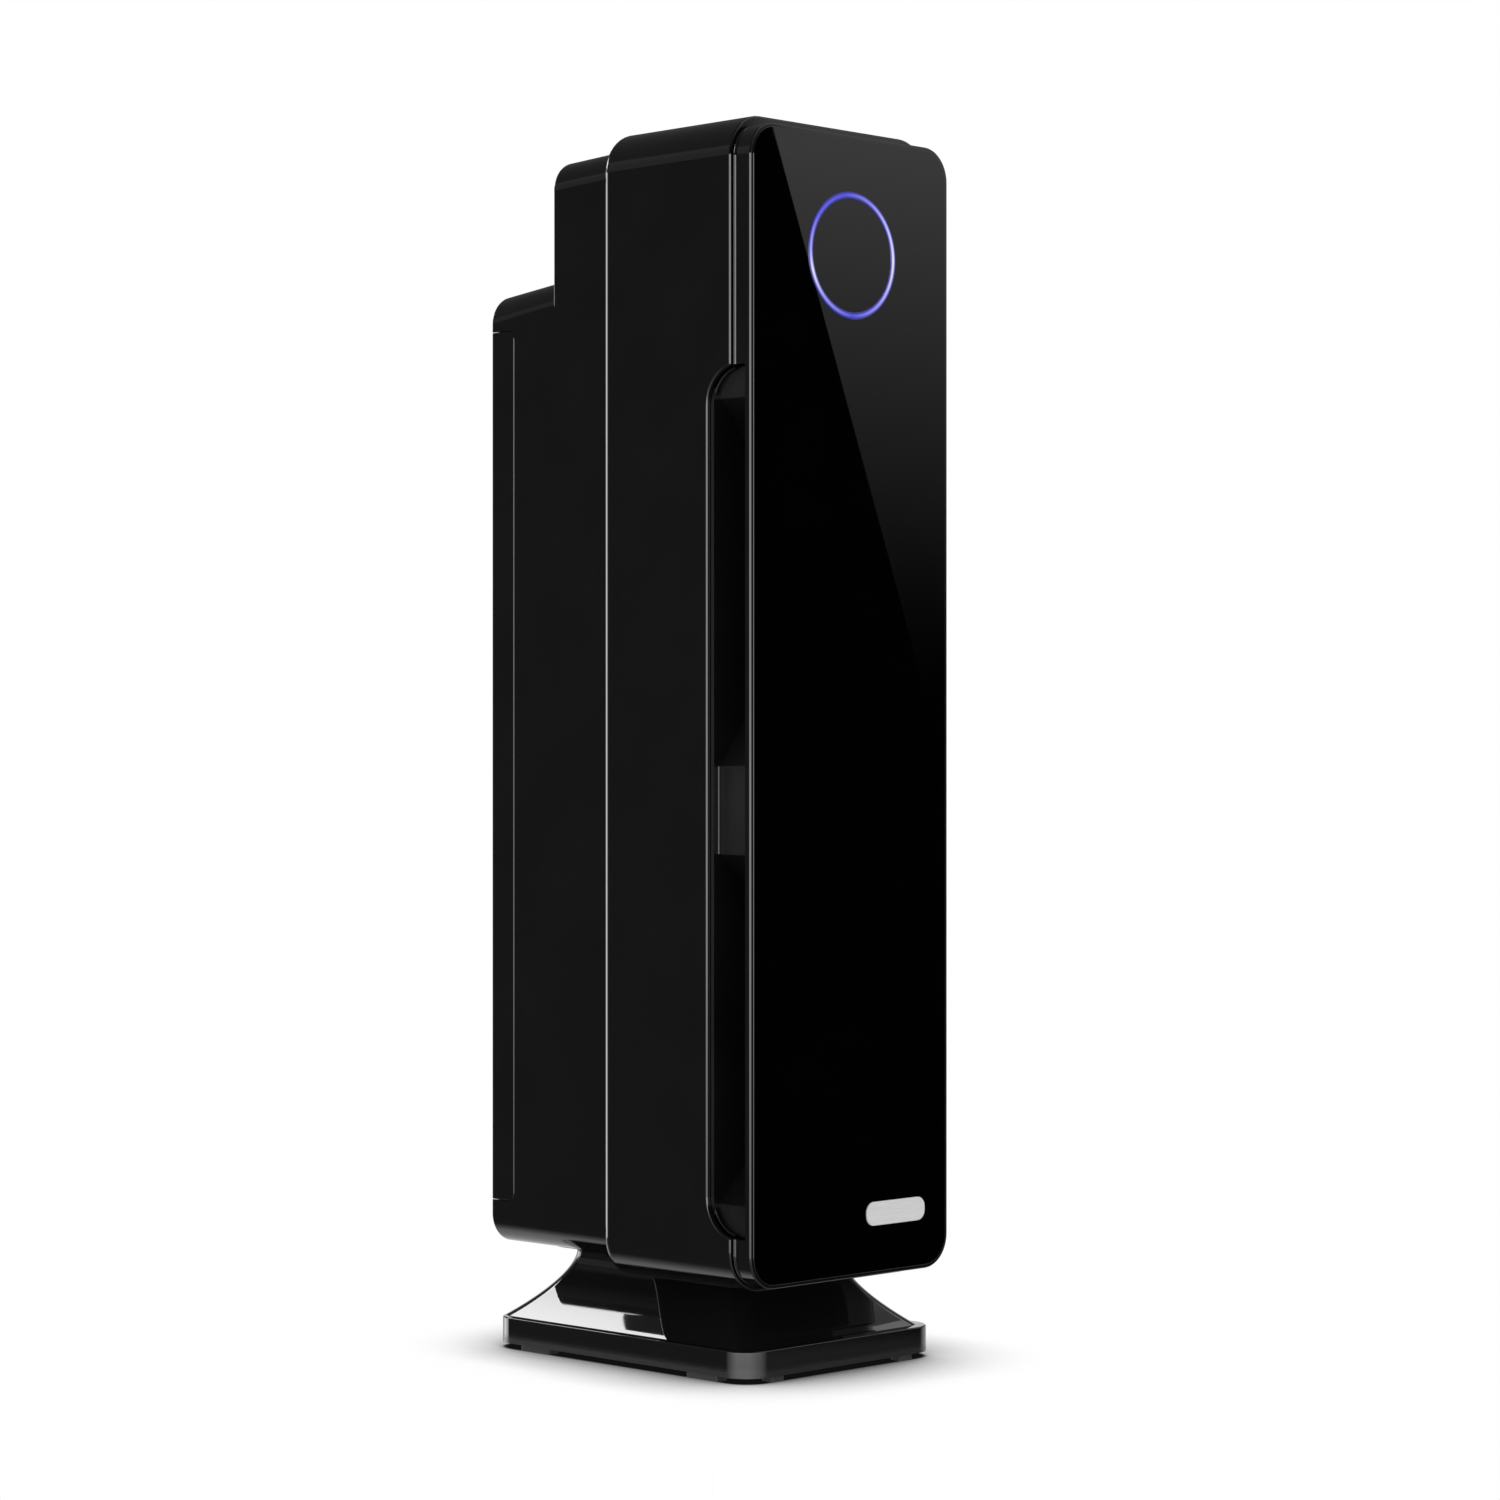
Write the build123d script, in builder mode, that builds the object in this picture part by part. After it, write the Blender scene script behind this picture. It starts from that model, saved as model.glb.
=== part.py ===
from build123d import *
import math
import os

os.makedirs("parts", exist_ok=True)

# Tower air purifier. Millimetres, +Z up, the front panel faces -Y, the floor is z = 0.

# Tower envelope
overall_height = 714.0
body_bottom_z = 50.1
body_width = 165.0
body_depth = 225.9
body_corner = 24.0
wall = 2.5
slip_gap = 0.3
pin_gap = 0.05

# Front panel and bezel
panel_thickness = 3.0
panel_proud = 0.4
panel_inset = 2.2
panel_edge_round = 0.35
bezel_top_z = 708.0
bezel_bottom_z = 53.4
bezel_corner = 19.0
bezel_depth = 13.6
bezel_floor = 1.5
bezel_edge_round = 1.0
accent_setback = 10.5
accent_width = 1.0
accent_depth = 1.6
accent_round = 0.9
spigot_inset = 4.0
groove_width = 2.2

# Ring of light and touch window in the panel
ring_z = 639.0
ring_diameter = 73.0
ring_band = 4.0
ring_proud = 0.4
led_count = 12
led_size = 3.0
led_height = 0.8
led_hole_diameter = 4.8
touch_board_size = 84.0
touch_board_corner = 6.0
board_thickness = 1.6

# Badge plate
badge_width = 49.4
badge_height = 13.7
badge_corner = 6.0
badge_thickness = 0.9
badge_x = 36.7
badge_z = 89.0

# Front housing
housing_depth = 104.6
housing_front_round = 1.2
housing_rear_round = 5.0
slot_bottom_z = 82.0
slot_height = 490.0
slot_depth = 18.5
slot_corner = 22.0
slot_edge_round = 1.0

# Air guide behind the slots
guide_wall = 2.5
guide_inset = 4.0
web_height = 53.0
web_face_height = 50.0
web_face_drop = 5.0
block_edge_round = 0.8
end_block_height = 18.0
slope_run = 23.0
slope_rise = 22.0

# Rear housing
side_step = 7.5
top_step = 8.0
bottom_step = 10.7
rear_corner = 18.0
rear_edge_round = 0.8
upper_depth = 49.7
upper_fall = 2.5
pod_top_z = 640.4
pod_fall = 11.8
ear_reach = 10.0
ear_height = 14.0
ear_thickness = 3.0
ear_root = 0.2
ear_count = 4
ear_margin = 45.0
seat_band = 6.5
boss_diameter = 8.0
boss_length = 8.0
screw_diameter = 3.0
screw_head = 5.6
screw_head_height = 2.0
grip_width = 84.0
grip_height = 26.0
grip_corner = 8.0
grip_pocket = 22.0

# Filter cover
cover_bottom_z = 87.0
cover_top_z = 606.0
cover_return = 20.0
cover_corner = 5.0
cover_edge_round = 0.6
grille_columns = 4
grille_slot_length = 26.0
grille_slot_width = 4.0
grille_pitch_x = 29.0
grille_pitch_z = 10.0
grille_margin = 32.0
finger_width = 16.0
finger_thickness = 2.0
finger_reach = 14.0
finger_x = 40.0
post_diameter = 6.0
post_inset_x = 12.0
post_inset_z = 30.0

# Filter tray and filter pack
tray_gap = 0.5
tray_end_gap = 3.0
tray_rear_gap = 16.0
tray_floor = 2.5
switch_bay = 30.0
gasket_thickness = 3.0
gasket_band = 7.0
filter_gap = 0.6
filter_depth = 36.0
filter_rim = 3.0
pleat_pitch = 6.6
pleat_sheet = 1.0
pleat_side_gap = 0.5
pleat_end_gap = 2.0
prefilter_thickness = 5.0
tab_width = 24.0
tab_length = 18.0
tab_thickness = 0.8
tab_corner = 4.0
tray_window_corner = 5.0
filter_bay_depth = 64.0

# Safety switch
switch_x = 42.0
switch_width = 20.0
switch_height = 11.0
switch_depth = 26.0
plunger_diameter = 5.0
plunger_stand = 7.0
plunger_depth = 9.0
plunger_clear = 1.0
plunger_round = 1.0

# Blower
shaft_diameter = 8.0
wheel_radius = 36.0
wheel_bore_radius = 28.0
blade_count = 30
blade_thickness = 1.2
blade_sweep = 2.5
blade_sag = 1.6
blade_root = 0.5
blade_tip = 1.0
wheel_plate = 2.0
wheel_ring = 3.0
wheel_end_gap = 4.0
hub_diameter = 20.0
hub_height = 18.0
scroll_start_radius = 40.0
scroll_growth = 4.0
scroll_wall = 2.0
scroll_height = 150.0
scroll_clear = 1.0
inlet_radius = 27.0
inlet_lip = 6.0
shaft_hole_radius = 14.0

# Motor
motor_radius = 38.0
motor_height = 62.0
motor_wall = 2.0
motor_edge_round = 3.0
shaft_chamfer = 0.5
bush_radius = 9.0
bush_height = 10.0
stator_height = 34.0
stator_bore = 23.0
core_gap = 0.5
core_height = 36.0
standoff_diameter = 8.0
standoff_circle = 30.0

# Ultraviolet lamp
lamp_diameter = 15.5
lamp_length = 270.0
socket_width = 22.0
socket_height = 16.0
socket_cup = 6.0
lamp_end_round = 2.0
lamp_gap = 1.0

# Boards and electrical pieces in the head
power_board_width = 120.0
power_board_height = 92.0
board_standoff = 12.0
board_margin = 6.0
board_post_diameter = 7.0
component_round = 2.0
head_bay_floor_z = 592.0
capacitor_diameter = 26.0
capacitor_length = 44.0
capacitor_x = 22.0
capacitor_rise = 16.0
ballast_width = 58.0
ballast_height = 28.0
ballast_depth = 24.0
ballast_x = 22.0
ballast_drop = 22.0
transformer_size = 32.0
transformer_depth = 26.0
transformer_x = -26.0
transformer_rise = 12.0
loom_diameter = 6.0
loom_bend = 7.0
loom_wall_gap = 1.5
ribbon_width = 16.0
ribbon_thickness = 1.4
ribbon_drop = 16.0
ribbon_slot_margin = 3.5
ribbon_slot_corner = 3.0

# Mains inlet
inlet_pocket_width = 36.0
inlet_pocket_height = 18.0
inlet_pocket_depth = 15.0
inlet_pocket_corner = 3.0
inlet_z = 75.5
inlet_width = 21.0
inlet_height = 12.0
inlet_flange = 2.0
inlet_flange_width = 29.0
inlet_flange_height = 16.0
inlet_flange_corner = 4.0
inlet_corner = 5.99
inlet_socket_width = 16.0
inlet_socket_height = 8.0
inlet_body_depth = 18.0
inlet_socket_depth = 12.0
inlet_pin_diameter = 2.4
inlet_pin_pitch = 8.6
inlet_pin_length = 9.0
inlet_pin_round = 0.6

# Base
foot_height = 3.3
plate_thickness = 15.2
base_width = 160.0
base_depth = 214.8
base_corner = 17.0
base_back = 0.8
base_wall = 3.0
plate_edge_round = 0.9
flare_side_ledge = 6.0
flare_end_ledge = 3.7
flare_corner = 10.0
neck_width = 92.0
neck_depth = 145.0
neck_corner = 12.0
neck_back = 3.2
waist_z = 57.0
collar_flare = 14.0
flare_power = 1.6
bottom_plate = 2.5
side_foot_length = 25.0
side_foot_margin = 25.0
end_foot_length = 10.5
end_foot_margin = 21.0
foot_breadth = 9.0
foot_corner = 2.0
base_screw_inset_x = 16.0
base_screw_inset_y = 20.0
base_post_diameter = 9.0
base_screw_clear = 1.0
neck_screw_x = 28.0
neck_screw_front = 38.0
neck_screw_rear = 12.0

# Stations along Y, from the front back
front_y = -body_depth / 2 + badge_thickness
back_y = body_depth / 2
panel_back_y = front_y + panel_thickness
bezel_front_y = front_y + panel_proud
bezel_floor_y = panel_back_y + bezel_floor
bezel_back_y = bezel_front_y + bezel_depth
accent_y = bezel_front_y + accent_setback
housing_front_y = bezel_back_y + groove_width
housing_back_y = housing_front_y + housing_depth
slot_rear_y = housing_front_y + slot_depth
upper_back_y = housing_back_y + upper_depth
cover_front_y = back_y - cover_return
tray_front_y = back_y - filter_bay_depth
tray_rear_y = back_y - tray_rear_gap
tray_floor_y = tray_front_y + tray_floor
filter_front_y = tray_floor_y + gasket_thickness
filter_back_y = filter_front_y + filter_depth
prefilter_back_y = filter_back_y + prefilter_thickness

# Heights
body_height = overall_height - body_bottom_z
body_mid_z = (overall_height + body_bottom_z) / 2
rear_bottom_z = body_bottom_z + bottom_step
rear_top_z = overall_height - top_step
bezel_mid_z = (bezel_top_z + bezel_bottom_z) / 2
bezel_height = bezel_top_z - bezel_bottom_z
slot_top_z = slot_bottom_z + slot_height
slot_mid_z = slot_bottom_z + slot_height / 2
plate_top_z = foot_height + plate_thickness
tray_bottom_z = cover_bottom_z + tray_end_gap
tray_top_z = cover_top_z - tray_end_gap
shelf_z = tray_top_z - wall - switch_bay
filter_bottom_z = tray_bottom_z + wall + filter_gap
filter_top_z = shelf_z - wall - filter_gap
filter_mid_z = (filter_bottom_z + filter_top_z) / 2
filter_height = filter_top_z - filter_bottom_z
ribbon_z = ring_z - ribbon_drop

# Widths
rear_width = body_width - 2 * side_step
rear_inner_width = rear_width - 2 * wall
tray_width = rear_inner_width - 2 * tray_gap
tray_inner_width = tray_width - 2 * wall
filter_width = tray_inner_width - 2 * filter_gap
panel_width = body_width - 2 * panel_inset
panel_height = bezel_height - 2 * panel_inset
panel_corner = bezel_corner - panel_inset

# Blower stations: both wheels share one upright shaft
scroll_reach = scroll_start_radius + 3 * scroll_growth
fan_x = 1.5 * scroll_growth
lamp_front_y = tray_front_y - 2 * lamp_gap - lamp_diameter
fan_y = (slot_rear_y + lamp_front_y + scroll_start_radius - scroll_reach) / 2
scroll_base = web_height / 2 + slope_rise + scroll_clear
standoff_length = scroll_base - motor_height / 2
wheel_base = scroll_base + scroll_wall + wheel_end_gap
wheel_height = scroll_height - scroll_wall - 2 * wheel_end_gap - inlet_lip
scroll_left_x = fan_x - scroll_reach - scroll_growth
tongue_x = fan_x - scroll_start_radius * math.cos(math.radians(45))
guide_back_y = slot_rear_y - slip_gap


def upright(y):
    """Upright plane at y seen from the front; a negative extrusion goes back."""
    return Plane.XZ.offset(-y)


def save(piece, node):
    """Names one finished piece and writes its file."""
    piece.label = node
    export_step(piece, f"parts/{node}.step")


# Side view of the outlet slot, shared by everything the slot passes through
def outlet_tool(inset, reach):
    """Prism through both sides with the slot's outline, drawn in by inset."""
    depth = slot_rear_y - bezel_floor_y - inset
    with BuildPart() as tool:
        with BuildSketch(Plane.YZ) as outline:
            with Locations((bezel_floor_y + depth / 2, slot_mid_z)):
                Rectangle(depth, slot_height - 2 * inset)
            rear = outline.vertices().group_by(Axis.X)[-1]
            fillet(rear, slot_corner - inset)
        extrude(amount=reach, both=True)
    return tool.part


slot_tool = outlet_tool(0, body_width)

# Front panel with a round hole for the ring of light
with BuildPart() as front_panel:
    with BuildSketch(upright(front_y)):
        with Locations((0, bezel_mid_z)):
            RectangleRounded(panel_width, panel_height, panel_corner)
    extrude(amount=-panel_thickness)
    fillet(front_panel.faces().sort_by(Axis.Y)[0].edges(), panel_edge_round)
    with BuildSketch(upright(front_y)):
        with Locations((0, ring_z)):
            Circle(ring_diameter / 2 + pin_gap)
    extrude(amount=-panel_thickness, mode=Mode.SUBTRACT)
save(front_panel.part, "front_panel")

with BuildPart() as light_ring:
    with BuildSketch(upright(front_y - ring_proud)):
        with Locations((0, ring_z)):
            Circle(ring_diameter / 2)
            Circle(ring_diameter / 2 - ring_band, mode=Mode.SUBTRACT)
    extrude(amount=-panel_thickness - ring_proud)
    fillet(light_ring.faces().sort_by(Axis.Y)[0].edges(), ring_proud)
save(light_ring.part, "light_ring")

with BuildPart() as touch_window:
    with BuildSketch(upright(front_y)):
        with Locations((0, ring_z)):
            Circle(ring_diameter / 2 - ring_band - pin_gap)
    extrude(amount=-panel_thickness)
save(touch_window.part, "touch_window")

with BuildPart() as badge_plate:
    with BuildSketch(upright(front_y)):
        with Locations((badge_x, badge_z)):
            RectangleRounded(badge_width, badge_height, badge_corner)
    extrude(amount=badge_thickness)
    fillet(badge_plate.faces().sort_by(Axis.Y)[0].edges(), badge_thickness * 0.6)
save(badge_plate.part, "badge_plate")

# Bezel: tray for the panel, open behind, with a spigot that seats on the housing
with BuildPart() as front_bezel:
    with BuildSketch(upright(bezel_front_y)):
        with Locations((0, bezel_mid_z)):
            RectangleRounded(body_width, bezel_height, bezel_corner)
    extrude(amount=-bezel_depth)
    ends = front_bezel.faces().sort_by(Axis.Y)
    fillet(ends[0].edges() + ends[-1].edges(), bezel_edge_round)
    with BuildSketch(upright(accent_y)):
        with Locations((0, bezel_mid_z)):
            Rectangle(body_width, bezel_height)
            RectangleRounded(
                body_width - 2 * accent_depth, bezel_height - 2 * accent_depth, bezel_corner - accent_depth,
                mode=Mode.SUBTRACT,
            )
    extrude(amount=-accent_width, mode=Mode.SUBTRACT)
    accent_back = front_bezel.faces().filter_by_position(
        Axis.Y, accent_y + accent_width - pin_gap, accent_y + accent_width + pin_gap
    )
    fillet(accent_back[0].outer_wire().edges(), accent_round)
    with BuildSketch(upright(bezel_back_y)):
        with Locations((0, bezel_mid_z)):
            RectangleRounded(
                body_width - 2 * spigot_inset,
                bezel_height - 2 * spigot_inset,
                bezel_corner - spigot_inset,
            )
    extrude(amount=-groove_width)
    with BuildSketch(upright(bezel_floor_y)):
        with Locations((0, bezel_mid_z)):
            RectangleRounded(
                body_width - 2 * spigot_inset - 2 * wall,
                bezel_height - 2 * spigot_inset - 2 * wall,
                bezel_corner - spigot_inset - wall,
            )
    extrude(amount=bezel_floor_y - housing_front_y, mode=Mode.SUBTRACT)
    with BuildSketch(upright(bezel_front_y)):
        with Locations((0, bezel_mid_z)):
            RectangleRounded(
                panel_width + 2 * pin_gap, panel_height + 2 * pin_gap, panel_corner + pin_gap
            )
    extrude(amount=bezel_front_y - panel_back_y, mode=Mode.SUBTRACT)
    add(slot_tool, mode=Mode.SUBTRACT)
    with BuildSketch(upright(panel_back_y)):
        with Locations((0, ring_z)):
            with PolarLocations((ring_diameter - ring_band) / 2, led_count):
                Circle(led_hole_diameter / 2)
    extrude(amount=-bezel_floor, mode=Mode.SUBTRACT)
save(front_bezel.part, "front_bezel")

# Touch board behind the ring, with its lights in the bezel's holes
with BuildPart() as touch_board:
    with BuildSketch(upright(bezel_floor_y)):
        with Locations((0, ring_z)):
            RectangleRounded(touch_board_size, touch_board_size, touch_board_corner)
    extrude(amount=-board_thickness)
save(touch_board.part, "touch_board")

with BuildPart() as ring_leds:
    with BuildSketch(upright(bezel_floor_y)):
        with Locations((0, ring_z)):
            with PolarLocations((ring_diameter - ring_band) / 2, led_count):
                Rectangle(led_size, led_size)
    extrude(amount=led_height)
save(ring_leds.part, "ring_leds")

# Front housing: box with a front wall and a rear wall that the rear housing seats on
ring_opening_width = rear_inner_width - 2 * ear_reach
ring_opening_bottom = rear_bottom_z + seat_band
ring_opening_top = rear_top_z - wall - ear_reach
ear_x = rear_inner_width / 2 - ear_reach / 2
ear_step = (rear_top_z - rear_bottom_z - 2 * ear_margin) / (ear_count - 1)
ear_spots = [
    (side * ear_x, rear_bottom_z + ear_margin + ear_step * row)
    for side in (-1, 1)
    for row in range(ear_count)
]
neck_spots = [
    (side * neck_screw_x, y)
    for side in (-1, 1)
    for y in (housing_front_y + neck_screw_front, housing_back_y - neck_screw_rear)
]

with BuildPart() as housing_core:
    with BuildSketch(upright(housing_front_y + wall)):
        with Locations((0, body_mid_z)):
            RectangleRounded(
                body_width - 2 * wall, body_height - 2 * wall, body_corner - wall
            )
    extrude(amount=2 * wall - housing_depth)
    fillet(housing_core.faces().sort_by(Axis.Y)[-1].edges(), housing_rear_round - wall)

with BuildPart() as front_housing:
    with BuildSketch(upright(housing_front_y)):
        with Locations((0, body_mid_z)):
            RectangleRounded(body_width, body_height, body_corner)
    extrude(amount=-housing_depth)
    ends = front_housing.faces().sort_by(Axis.Y)
    fillet(ends[0].edges(), housing_front_round)
    fillet(front_housing.faces().sort_by(Axis.Y)[-1].edges(), housing_rear_round)
    add(housing_core.part, mode=Mode.SUBTRACT)
    with BuildSketch(upright(housing_back_y - wall)):
        with Locations((0, (ring_opening_bottom + ring_opening_top) / 2)):
            RectangleRounded(
                ring_opening_width, ring_opening_top - ring_opening_bottom, rear_corner - wall
            )
    extrude(amount=-wall, mode=Mode.SUBTRACT)
    add(slot_tool, mode=Mode.SUBTRACT)
    with BuildSketch(upright(housing_front_y)):
        with Locations((0, ribbon_z)):
            RectangleRounded(
                ribbon_width + 2 * ribbon_slot_margin,
                ribbon_thickness + 2 * ribbon_slot_margin,
                ribbon_slot_corner,
            )
    extrude(amount=-wall, mode=Mode.SUBTRACT)
    with BuildSketch(upright(housing_back_y - wall)):
        with Locations(*ear_spots):
            Circle(boss_diameter / 2)
    extrude(amount=boss_length)
    with BuildSketch(upright(housing_back_y)):
        with Locations(*ear_spots):
            Circle(screw_diameter / 2 + pin_gap)
    extrude(amount=wall + boss_length, mode=Mode.SUBTRACT)
    with BuildSketch(Plane.XY.offset(body_bottom_z + wall)):
        with Locations(*neck_spots):
            Circle(boss_diameter / 2)
    extrude(amount=boss_length)
    with BuildSketch(Plane.XY.offset(body_bottom_z)):
        with Locations(*neck_spots):
            Circle(screw_diameter / 2 + pin_gap)
    extrude(amount=wall + boss_length, mode=Mode.SUBTRACT)
    slot_edges = (
        front_housing.edges()
        .filter_by_position(Axis.Y, housing_front_y + 2, slot_rear_y + 0.1)
        .filter_by_position(Axis.Z, slot_bottom_z - 0.1, slot_top_z + 0.1)
        .filter_by(lambda e: abs(abs(e.center().X) - body_width / 2) < 0.05)
    )
    fillet(slot_edges, slot_edge_round)
save(front_housing.part, "front_housing")

# Air guide: back wall of the slots, end blocks and middle web, hollow from behind
guide_half = body_width / 2 - wall - slip_gap
block_half = body_width / 2 - wall - guide_inset
web_half = web_height / 2
web_face_top_z = slot_mid_z - web_face_drop + web_face_height / 2
web_face_bottom_z = web_face_top_z - web_face_height
slope_x = block_half - slope_run
guide_top_z = slot_top_z - slip_gap
guide_bottom_z = slot_bottom_z + slip_gap
mid_block = [
    (-block_half, web_face_bottom_z),
    (-block_half, web_face_top_z),
    (-slope_x, slot_mid_z + web_half + slope_rise),
    (slope_x, slot_mid_z + web_half + slope_rise),
    (block_half, web_face_top_z),
    (block_half, web_face_bottom_z),
    (slope_x, slot_mid_z - web_half - slope_rise),
    (-slope_x, slot_mid_z - web_half - slope_rise),
]
top_block = [
    (-block_half, guide_top_z),
    (block_half, guide_top_z),
    (block_half, slot_top_z - end_block_height),
    (slope_x, slot_top_z - end_block_height - slope_rise),
    (-slope_x, slot_top_z - end_block_height - slope_rise),
    (-block_half, slot_top_z - end_block_height),
]
bottom_block = [
    (-block_half, guide_bottom_z),
    (block_half, guide_bottom_z),
    (block_half, slot_bottom_z + end_block_height),
    (slope_x, slot_bottom_z + end_block_height + slope_rise),
    (-slope_x, slot_bottom_z + end_block_height + slope_rise),
    (-block_half, slot_bottom_z + end_block_height),
]
guide_front_y = bezel_floor_y + slip_gap
window_left = scroll_left_x
window_right = tongue_x
window_height = scroll_height - scroll_wall - inlet_lip
splitter_x = (window_left + window_right) / 2
upper_window_z = slot_mid_z + scroll_base + scroll_wall + window_height / 2
lower_window_z = slot_mid_z - scroll_base - scroll_wall - window_height / 2
guide_envelope = outlet_tool(slip_gap, guide_half)

with BuildPart() as air_guide:
    with BuildSketch(upright(guide_back_y - guide_wall)):
        with Locations((0, slot_mid_z)):
            Rectangle(2 * guide_half, slot_height)
    extrude(amount=-guide_wall)
    for block in (mid_block, top_block, bottom_block):
        with BuildSketch(upright(guide_front_y)):
            with BuildLine():
                Polyline(*block, close=True)
            make_face()
        extrude(amount=guide_front_y - guide_back_y)
    for block in (mid_block, top_block, bottom_block):
        with BuildSketch(upright(guide_front_y + guide_wall)):
            with BuildLine():
                Polyline(*block, close=True)
            make_face()
            offset(amount=-guide_wall, kind=Kind.INTERSECTION)
        extrude(amount=guide_front_y + guide_wall - guide_back_y, mode=Mode.SUBTRACT)
    with BuildSketch(upright(guide_front_y)):
        with Locations((splitter_x, slot_mid_z)):
            Rectangle(guide_wall, slot_height - 2 * end_block_height)
            Rectangle(guide_wall, web_height, mode=Mode.SUBTRACT)
    extrude(amount=guide_front_y - guide_back_y + guide_wall)
    with BuildSketch(upright(guide_back_y - guide_wall)):
        with Locations(
            ((window_left + window_right) / 2, upper_window_z),
            ((window_left + window_right) / 2, lower_window_z),
        ):
            Rectangle(window_right - window_left, window_height)
    extrude(amount=-guide_wall, mode=Mode.SUBTRACT)
    add(guide_envelope, mode=Mode.INTERSECT)
    side_faces = air_guide.faces().filter_by(Axis.X).filter_by(
        lambda f: abs(abs(f.center().X) - block_half) < pin_gap
    )
    open_edges = side_faces.edges().filter_by(lambda e: e.center().Y > guide_front_y + pin_gap)
    arc_edges = open_edges.filter_by(GeomType.CIRCLE)
    web_edges = open_edges.filter_by_position(Axis.Z, web_face_bottom_z, web_face_top_z)
    fillet(arc_edges + web_edges, block_edge_round)
save(air_guide.part, "air_guide")


def rear_block(inset, end_y, top_z, fall):
    """Block from the housing's back to end_y whose top falls towards its end."""
    with BuildPart() as block:
        with BuildSketch(Plane.YZ):
            with BuildLine():
                Polyline(
                    (housing_back_y, rear_bottom_z + inset),
                    (housing_back_y, top_z - inset),
                    (end_y - inset, top_z - fall - inset),
                    (end_y - inset, rear_bottom_z + inset),
                    close=True,
                )
            make_face()
        extrude(amount=rear_width / 2 - inset, both=True)
        long_edges = block.edges().filter_by(lambda e: abs(e.tangent_at(0.5).Y) > 0.9)
        fillet(long_edges, rear_corner - inset)
        if inset < rear_edge_round:
            fillet(block.faces().sort_by(Axis.Y)[-1].edges(), rear_edge_round - inset)
    return block.part


def rear_form(inset):
    """Rear housing's solid form, drawn in from its outside by inset."""
    with BuildPart() as form:
        add(rear_block(inset, upper_back_y, rear_top_z, upper_fall))
        add(rear_block(inset, back_y, pod_top_z, pod_fall))
    return form.part


def cover_tool(inset):
    """Prism over the filter cover's side outline, drawn in by inset."""
    front = cover_front_y + inset
    height = cover_top_z - cover_bottom_z - 2 * inset
    depth = back_y + cover_return - front
    with BuildPart() as tool:
        with BuildSketch(Plane.YZ) as outline:
            with Locations((front + depth / 2, (cover_top_z + cover_bottom_z) / 2)):
                Rectangle(depth, height)
            fillet(outline.vertices().group_by(Axis.X)[0], cover_corner - inset)
        extrude(amount=body_width, both=True)
    return tool.part


rear_outer = rear_form(0)
rear_inner = rear_form(wall)
cover_cut = cover_tool(0)
cover_keep = cover_tool(slip_gap)
grip_z = (pod_top_z + rear_top_z - upper_fall) / 2

with BuildPart() as rear_housing:
    add(rear_outer)
    add(rear_inner, mode=Mode.SUBTRACT)
    add(cover_cut, mode=Mode.SUBTRACT)
    with BuildSketch(upright(housing_back_y)):
        with Locations(*ear_spots):
            Rectangle(ear_reach + ear_root, ear_height)
    extrude(amount=-ear_thickness)
    with BuildSketch(upright(housing_back_y)):
        with Locations(*ear_spots):
            Circle(screw_diameter / 2 + slip_gap)
    extrude(amount=-ear_thickness, mode=Mode.SUBTRACT)
    with BuildSketch(upright(upper_back_y)):
        with Locations((0, grip_z)):
            RectangleRounded(grip_width + 2 * wall, grip_height + 2 * wall, grip_corner + wall)
    extrude(amount=grip_pocket + wall)
    with BuildSketch(upright(upper_back_y)):
        with Locations((0, grip_z)):
            RectangleRounded(grip_width, grip_height, grip_corner)
    extrude(amount=grip_pocket, mode=Mode.SUBTRACT)
    with BuildSketch(upright(back_y)):
        with Locations((0, inlet_z)):
            Rectangle(inlet_pocket_width + 2 * wall, inlet_pocket_height + 2 * wall)
    extrude(amount=inlet_pocket_depth + wall)
    with BuildSketch(upright(back_y)):
        with Locations((0, inlet_z)):
            RectangleRounded(inlet_pocket_width, inlet_pocket_height, inlet_pocket_corner)
    extrude(amount=inlet_pocket_depth, mode=Mode.SUBTRACT)
    with BuildSketch(upright(back_y)):
        with Locations((0, inlet_z)):
            RectangleRounded(inlet_width, inlet_height, inlet_corner)
    extrude(amount=inlet_pocket_depth + wall, mode=Mode.SUBTRACT)
    add(rear_outer, mode=Mode.INTERSECT)
save(rear_housing.part, "rear_housing")

with BuildPart() as housing_screws:
    with BuildSketch(upright(housing_back_y + ear_thickness)):
        with Locations(*ear_spots):
            Circle(screw_diameter / 2)
    extrude(amount=ear_thickness + boss_length)
    with BuildSketch(upright(housing_back_y + ear_thickness)):
        with Locations(*ear_spots):
            Circle(screw_head / 2)
    extrude(amount=-screw_head_height)
save(housing_screws.part, "housing_screws")

# Filter cover with its intake grille, snap fingers and the posts that hold the filter
grille_rows = int((cover_top_z - cover_bottom_z - 2 * grille_margin) / grille_pitch_z)
cover_mid_z = (cover_top_z + cover_bottom_z) / 2
cover_inner_y = back_y - wall
switch_z = tray_top_z - wall - switch_bay / 2
plunger_tip_y = tray_floor_y + switch_depth + plunger_stand
post_x = filter_width / 2 - post_inset_x
post_spots = [
    (side * post_x, filter_mid_z + end * (filter_height / 2 - post_inset_z))
    for side in (-1, 1)
    for end in (-1, 1)
]
finger_spots = [
    (side * finger_x, z)
    for side in (-1, 1)
    for z in (
        cover_top_z - slip_gap - finger_thickness / 2,
        cover_bottom_z + slip_gap + finger_thickness / 2,
    )
]

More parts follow.
